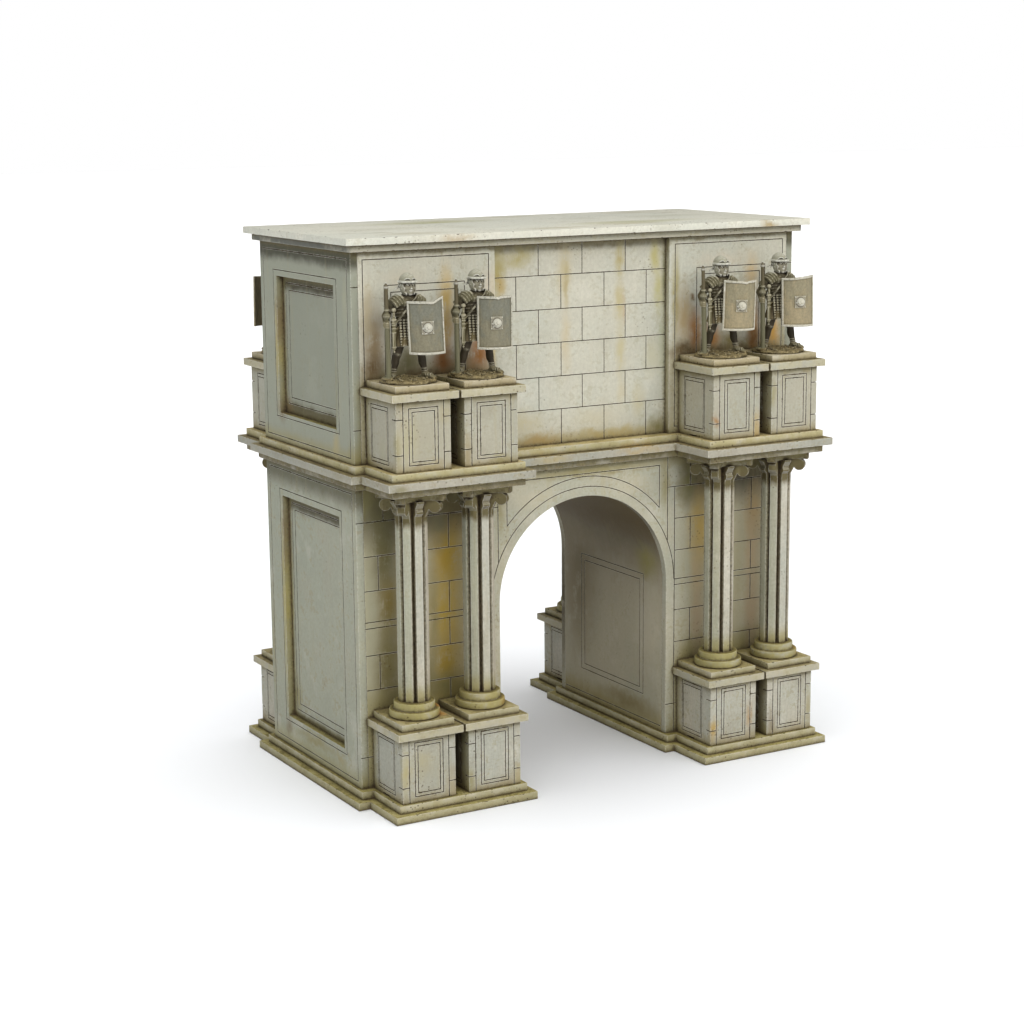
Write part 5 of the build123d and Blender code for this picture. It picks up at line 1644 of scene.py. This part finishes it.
for ob in [first] + casts:
    bpy.data.objects.remove(ob)

# ---- camera, floor, light --------------------------------------------------
def camera():
    az, el, roll = math.radians(29.865), math.radians(11.12), math.radians(-0.507)
    back = Vector((-math.sin(az) * math.cos(el), -math.cos(az) * math.cos(el), math.sin(el)))
    right = Vector((math.cos(az), -math.sin(az), 0.0))
    up = back.cross(right)
    if up.z < 0:
        up = -up
    c, s = math.cos(roll), math.sin(roll)
    X = c * right + s * up
    Y = -s * right + c * up
    at = Vector((-382.77, -651.91, 233.79)) * MM
    cam = bpy.data.cameras.new("photo_view")
    cam.sensor_width = 36.0
    cam.lens = 74.52
    cam.clip_start = 0.01
    cam.clip_end = 20.0
    ob = fresh("photo_view", cam)
    ob.matrix_world = Matrix(((X.x, Y.x, back.x, at.x), (X.y, Y.y, back.y, at.y),
                              (X.z, Y.z, back.z, at.z), (0, 0, 0, 1)))
    SCENE.camera = ob


def floor():
    me = bpy.data.meshes.new("floor")
    r = 6.0
    me.from_pydata([(-r, -r, 0), (r, -r, 0), (r, r, 0), (-r, r, 0)], [], [(0, 1, 2, 3)])
    mat = bpy.data.materials.new("pale_floor")
    mat.use_nodes = True
    g = Graph(mat.node_tree)
    b = mat.node_tree.nodes["Principled BSDF"]
    tc = g.node("ShaderNodeTexCoord")
    away = g.v("LENGTH", tc.outputs["Object"])
    # the floor is painted darker near the arch, as shade, and paler further away
    g.put(b.inputs["Base Color"], g.mix(g.span(away, 0.15, 0.75), (0.86, 0.87, 0.88), (0.95, 0.95, 0.95)))
    b.inputs["Roughness"].default_value = 0.9
    b.inputs["Specular IOR Level"].default_value = 0.1
    me.materials.append(mat)
    ob = fresh("floor", me)
    return ob


def only(lamp, ob, state):
    """The lamp lights this object alone, or everything but it."""
    c = bpy.data.collections.new(lamp.name + "_link")
    c.objects.link(ob)
    c.collection_objects[0].light_linking.link_state = state
    lamp.light_linking.receiver_collection = c


def sun(name, az, el, soft, watts, color):
    """Far soft lamp: az from the front towards the right, el above the floor."""
    d = bpy.data.lights.new(name, "SUN")
    d.angle = math.radians(soft)
    d.energy = watts
    d.color = color
    ob = fresh(name, d)
    a, e = math.radians(az), math.radians(el)
    way = Vector((math.sin(a) * math.cos(e), -math.cos(a) * math.cos(e), math.sin(e)))
    ob.matrix_world = Matrix.LocRotScale(way * 3.0, way.to_track_quat("Z", "Y"), None)
    return ob


def bar(name, at, aim, wide, high, watts, color):
    """Long level softbox a metre off, in mm: its middle, the point it faces, its size."""
    d = bpy.data.lights.new(name, "AREA")
    d.shape = "RECTANGLE"
    d.size = wide * MM
    d.size_y = high * MM
    d.energy = watts
    d.color = color
    ob = fresh(name, d)
    a, b = Vector(at), Vector(aim)
    ob.matrix_world = Matrix.LocRotScale(a * MM, (a - b).to_track_quat("Z", "Y"), None)
    return ob


def world():
    """Even pale room: white behind the object, a softer cool fill on it."""
    w = bpy.data.worlds.new("studio")
    SCENE.world = w
    w.use_nodes = True
    g = Graph(w.node_tree)
    fill = w.node_tree.nodes["Background"]
    fill.inputs[0].default_value = (1.0, 0.99, 0.95, 1)
    fill.inputs[1].default_value = 0.08
    white = g.node("ShaderNodeBackground")
    white.inputs[0].default_value = (1, 1, 1, 1)
    white.inputs[1].default_value = 1.0
    both_ = g.node("ShaderNodeMixShader")
    path = g.node("ShaderNodeLightPath")
    g.put(both_.inputs[0], path.outputs["Is Camera Ray"])
    g.put(both_.inputs[1], fill.outputs[0])
    g.put(both_.inputs[2], white.outputs[0])
    out = [n for n in w.node_tree.nodes if n.type == "OUTPUT_WORLD"][0]
    g.put(out.inputs[0], both_.outputs[0])


camera()
ground = floor()
world()
only(bar("front_bar", (220, -900, 680), (60, -40, 140), 1200, 250, 6.95, (1.0, 0.965, 0.90)), ground, "EXCLUDE")
only(bar("left_bar", (-870, -600, 1130), (-40, -10, 90), 1600, 520, 7.2, (0.985, 1.0, 0.96)), ground, "EXCLUDE")
only(sun("back_softbox", 165, 40, 30, 0.45, (1.0, 0.99, 0.97)), ground, "EXCLUDE")
only(sun("floor_softbox", 0, 85, 100, 2.95, (0.99, 0.99, 1.0)), ground, "INCLUDE")
sun("top_softbox", 0, 82, 80, 1.30, (0.98, 0.99, 1.0))
SCENE.view_settings.view_transform = "Standard"
SCENE.view_settings.look = "None"
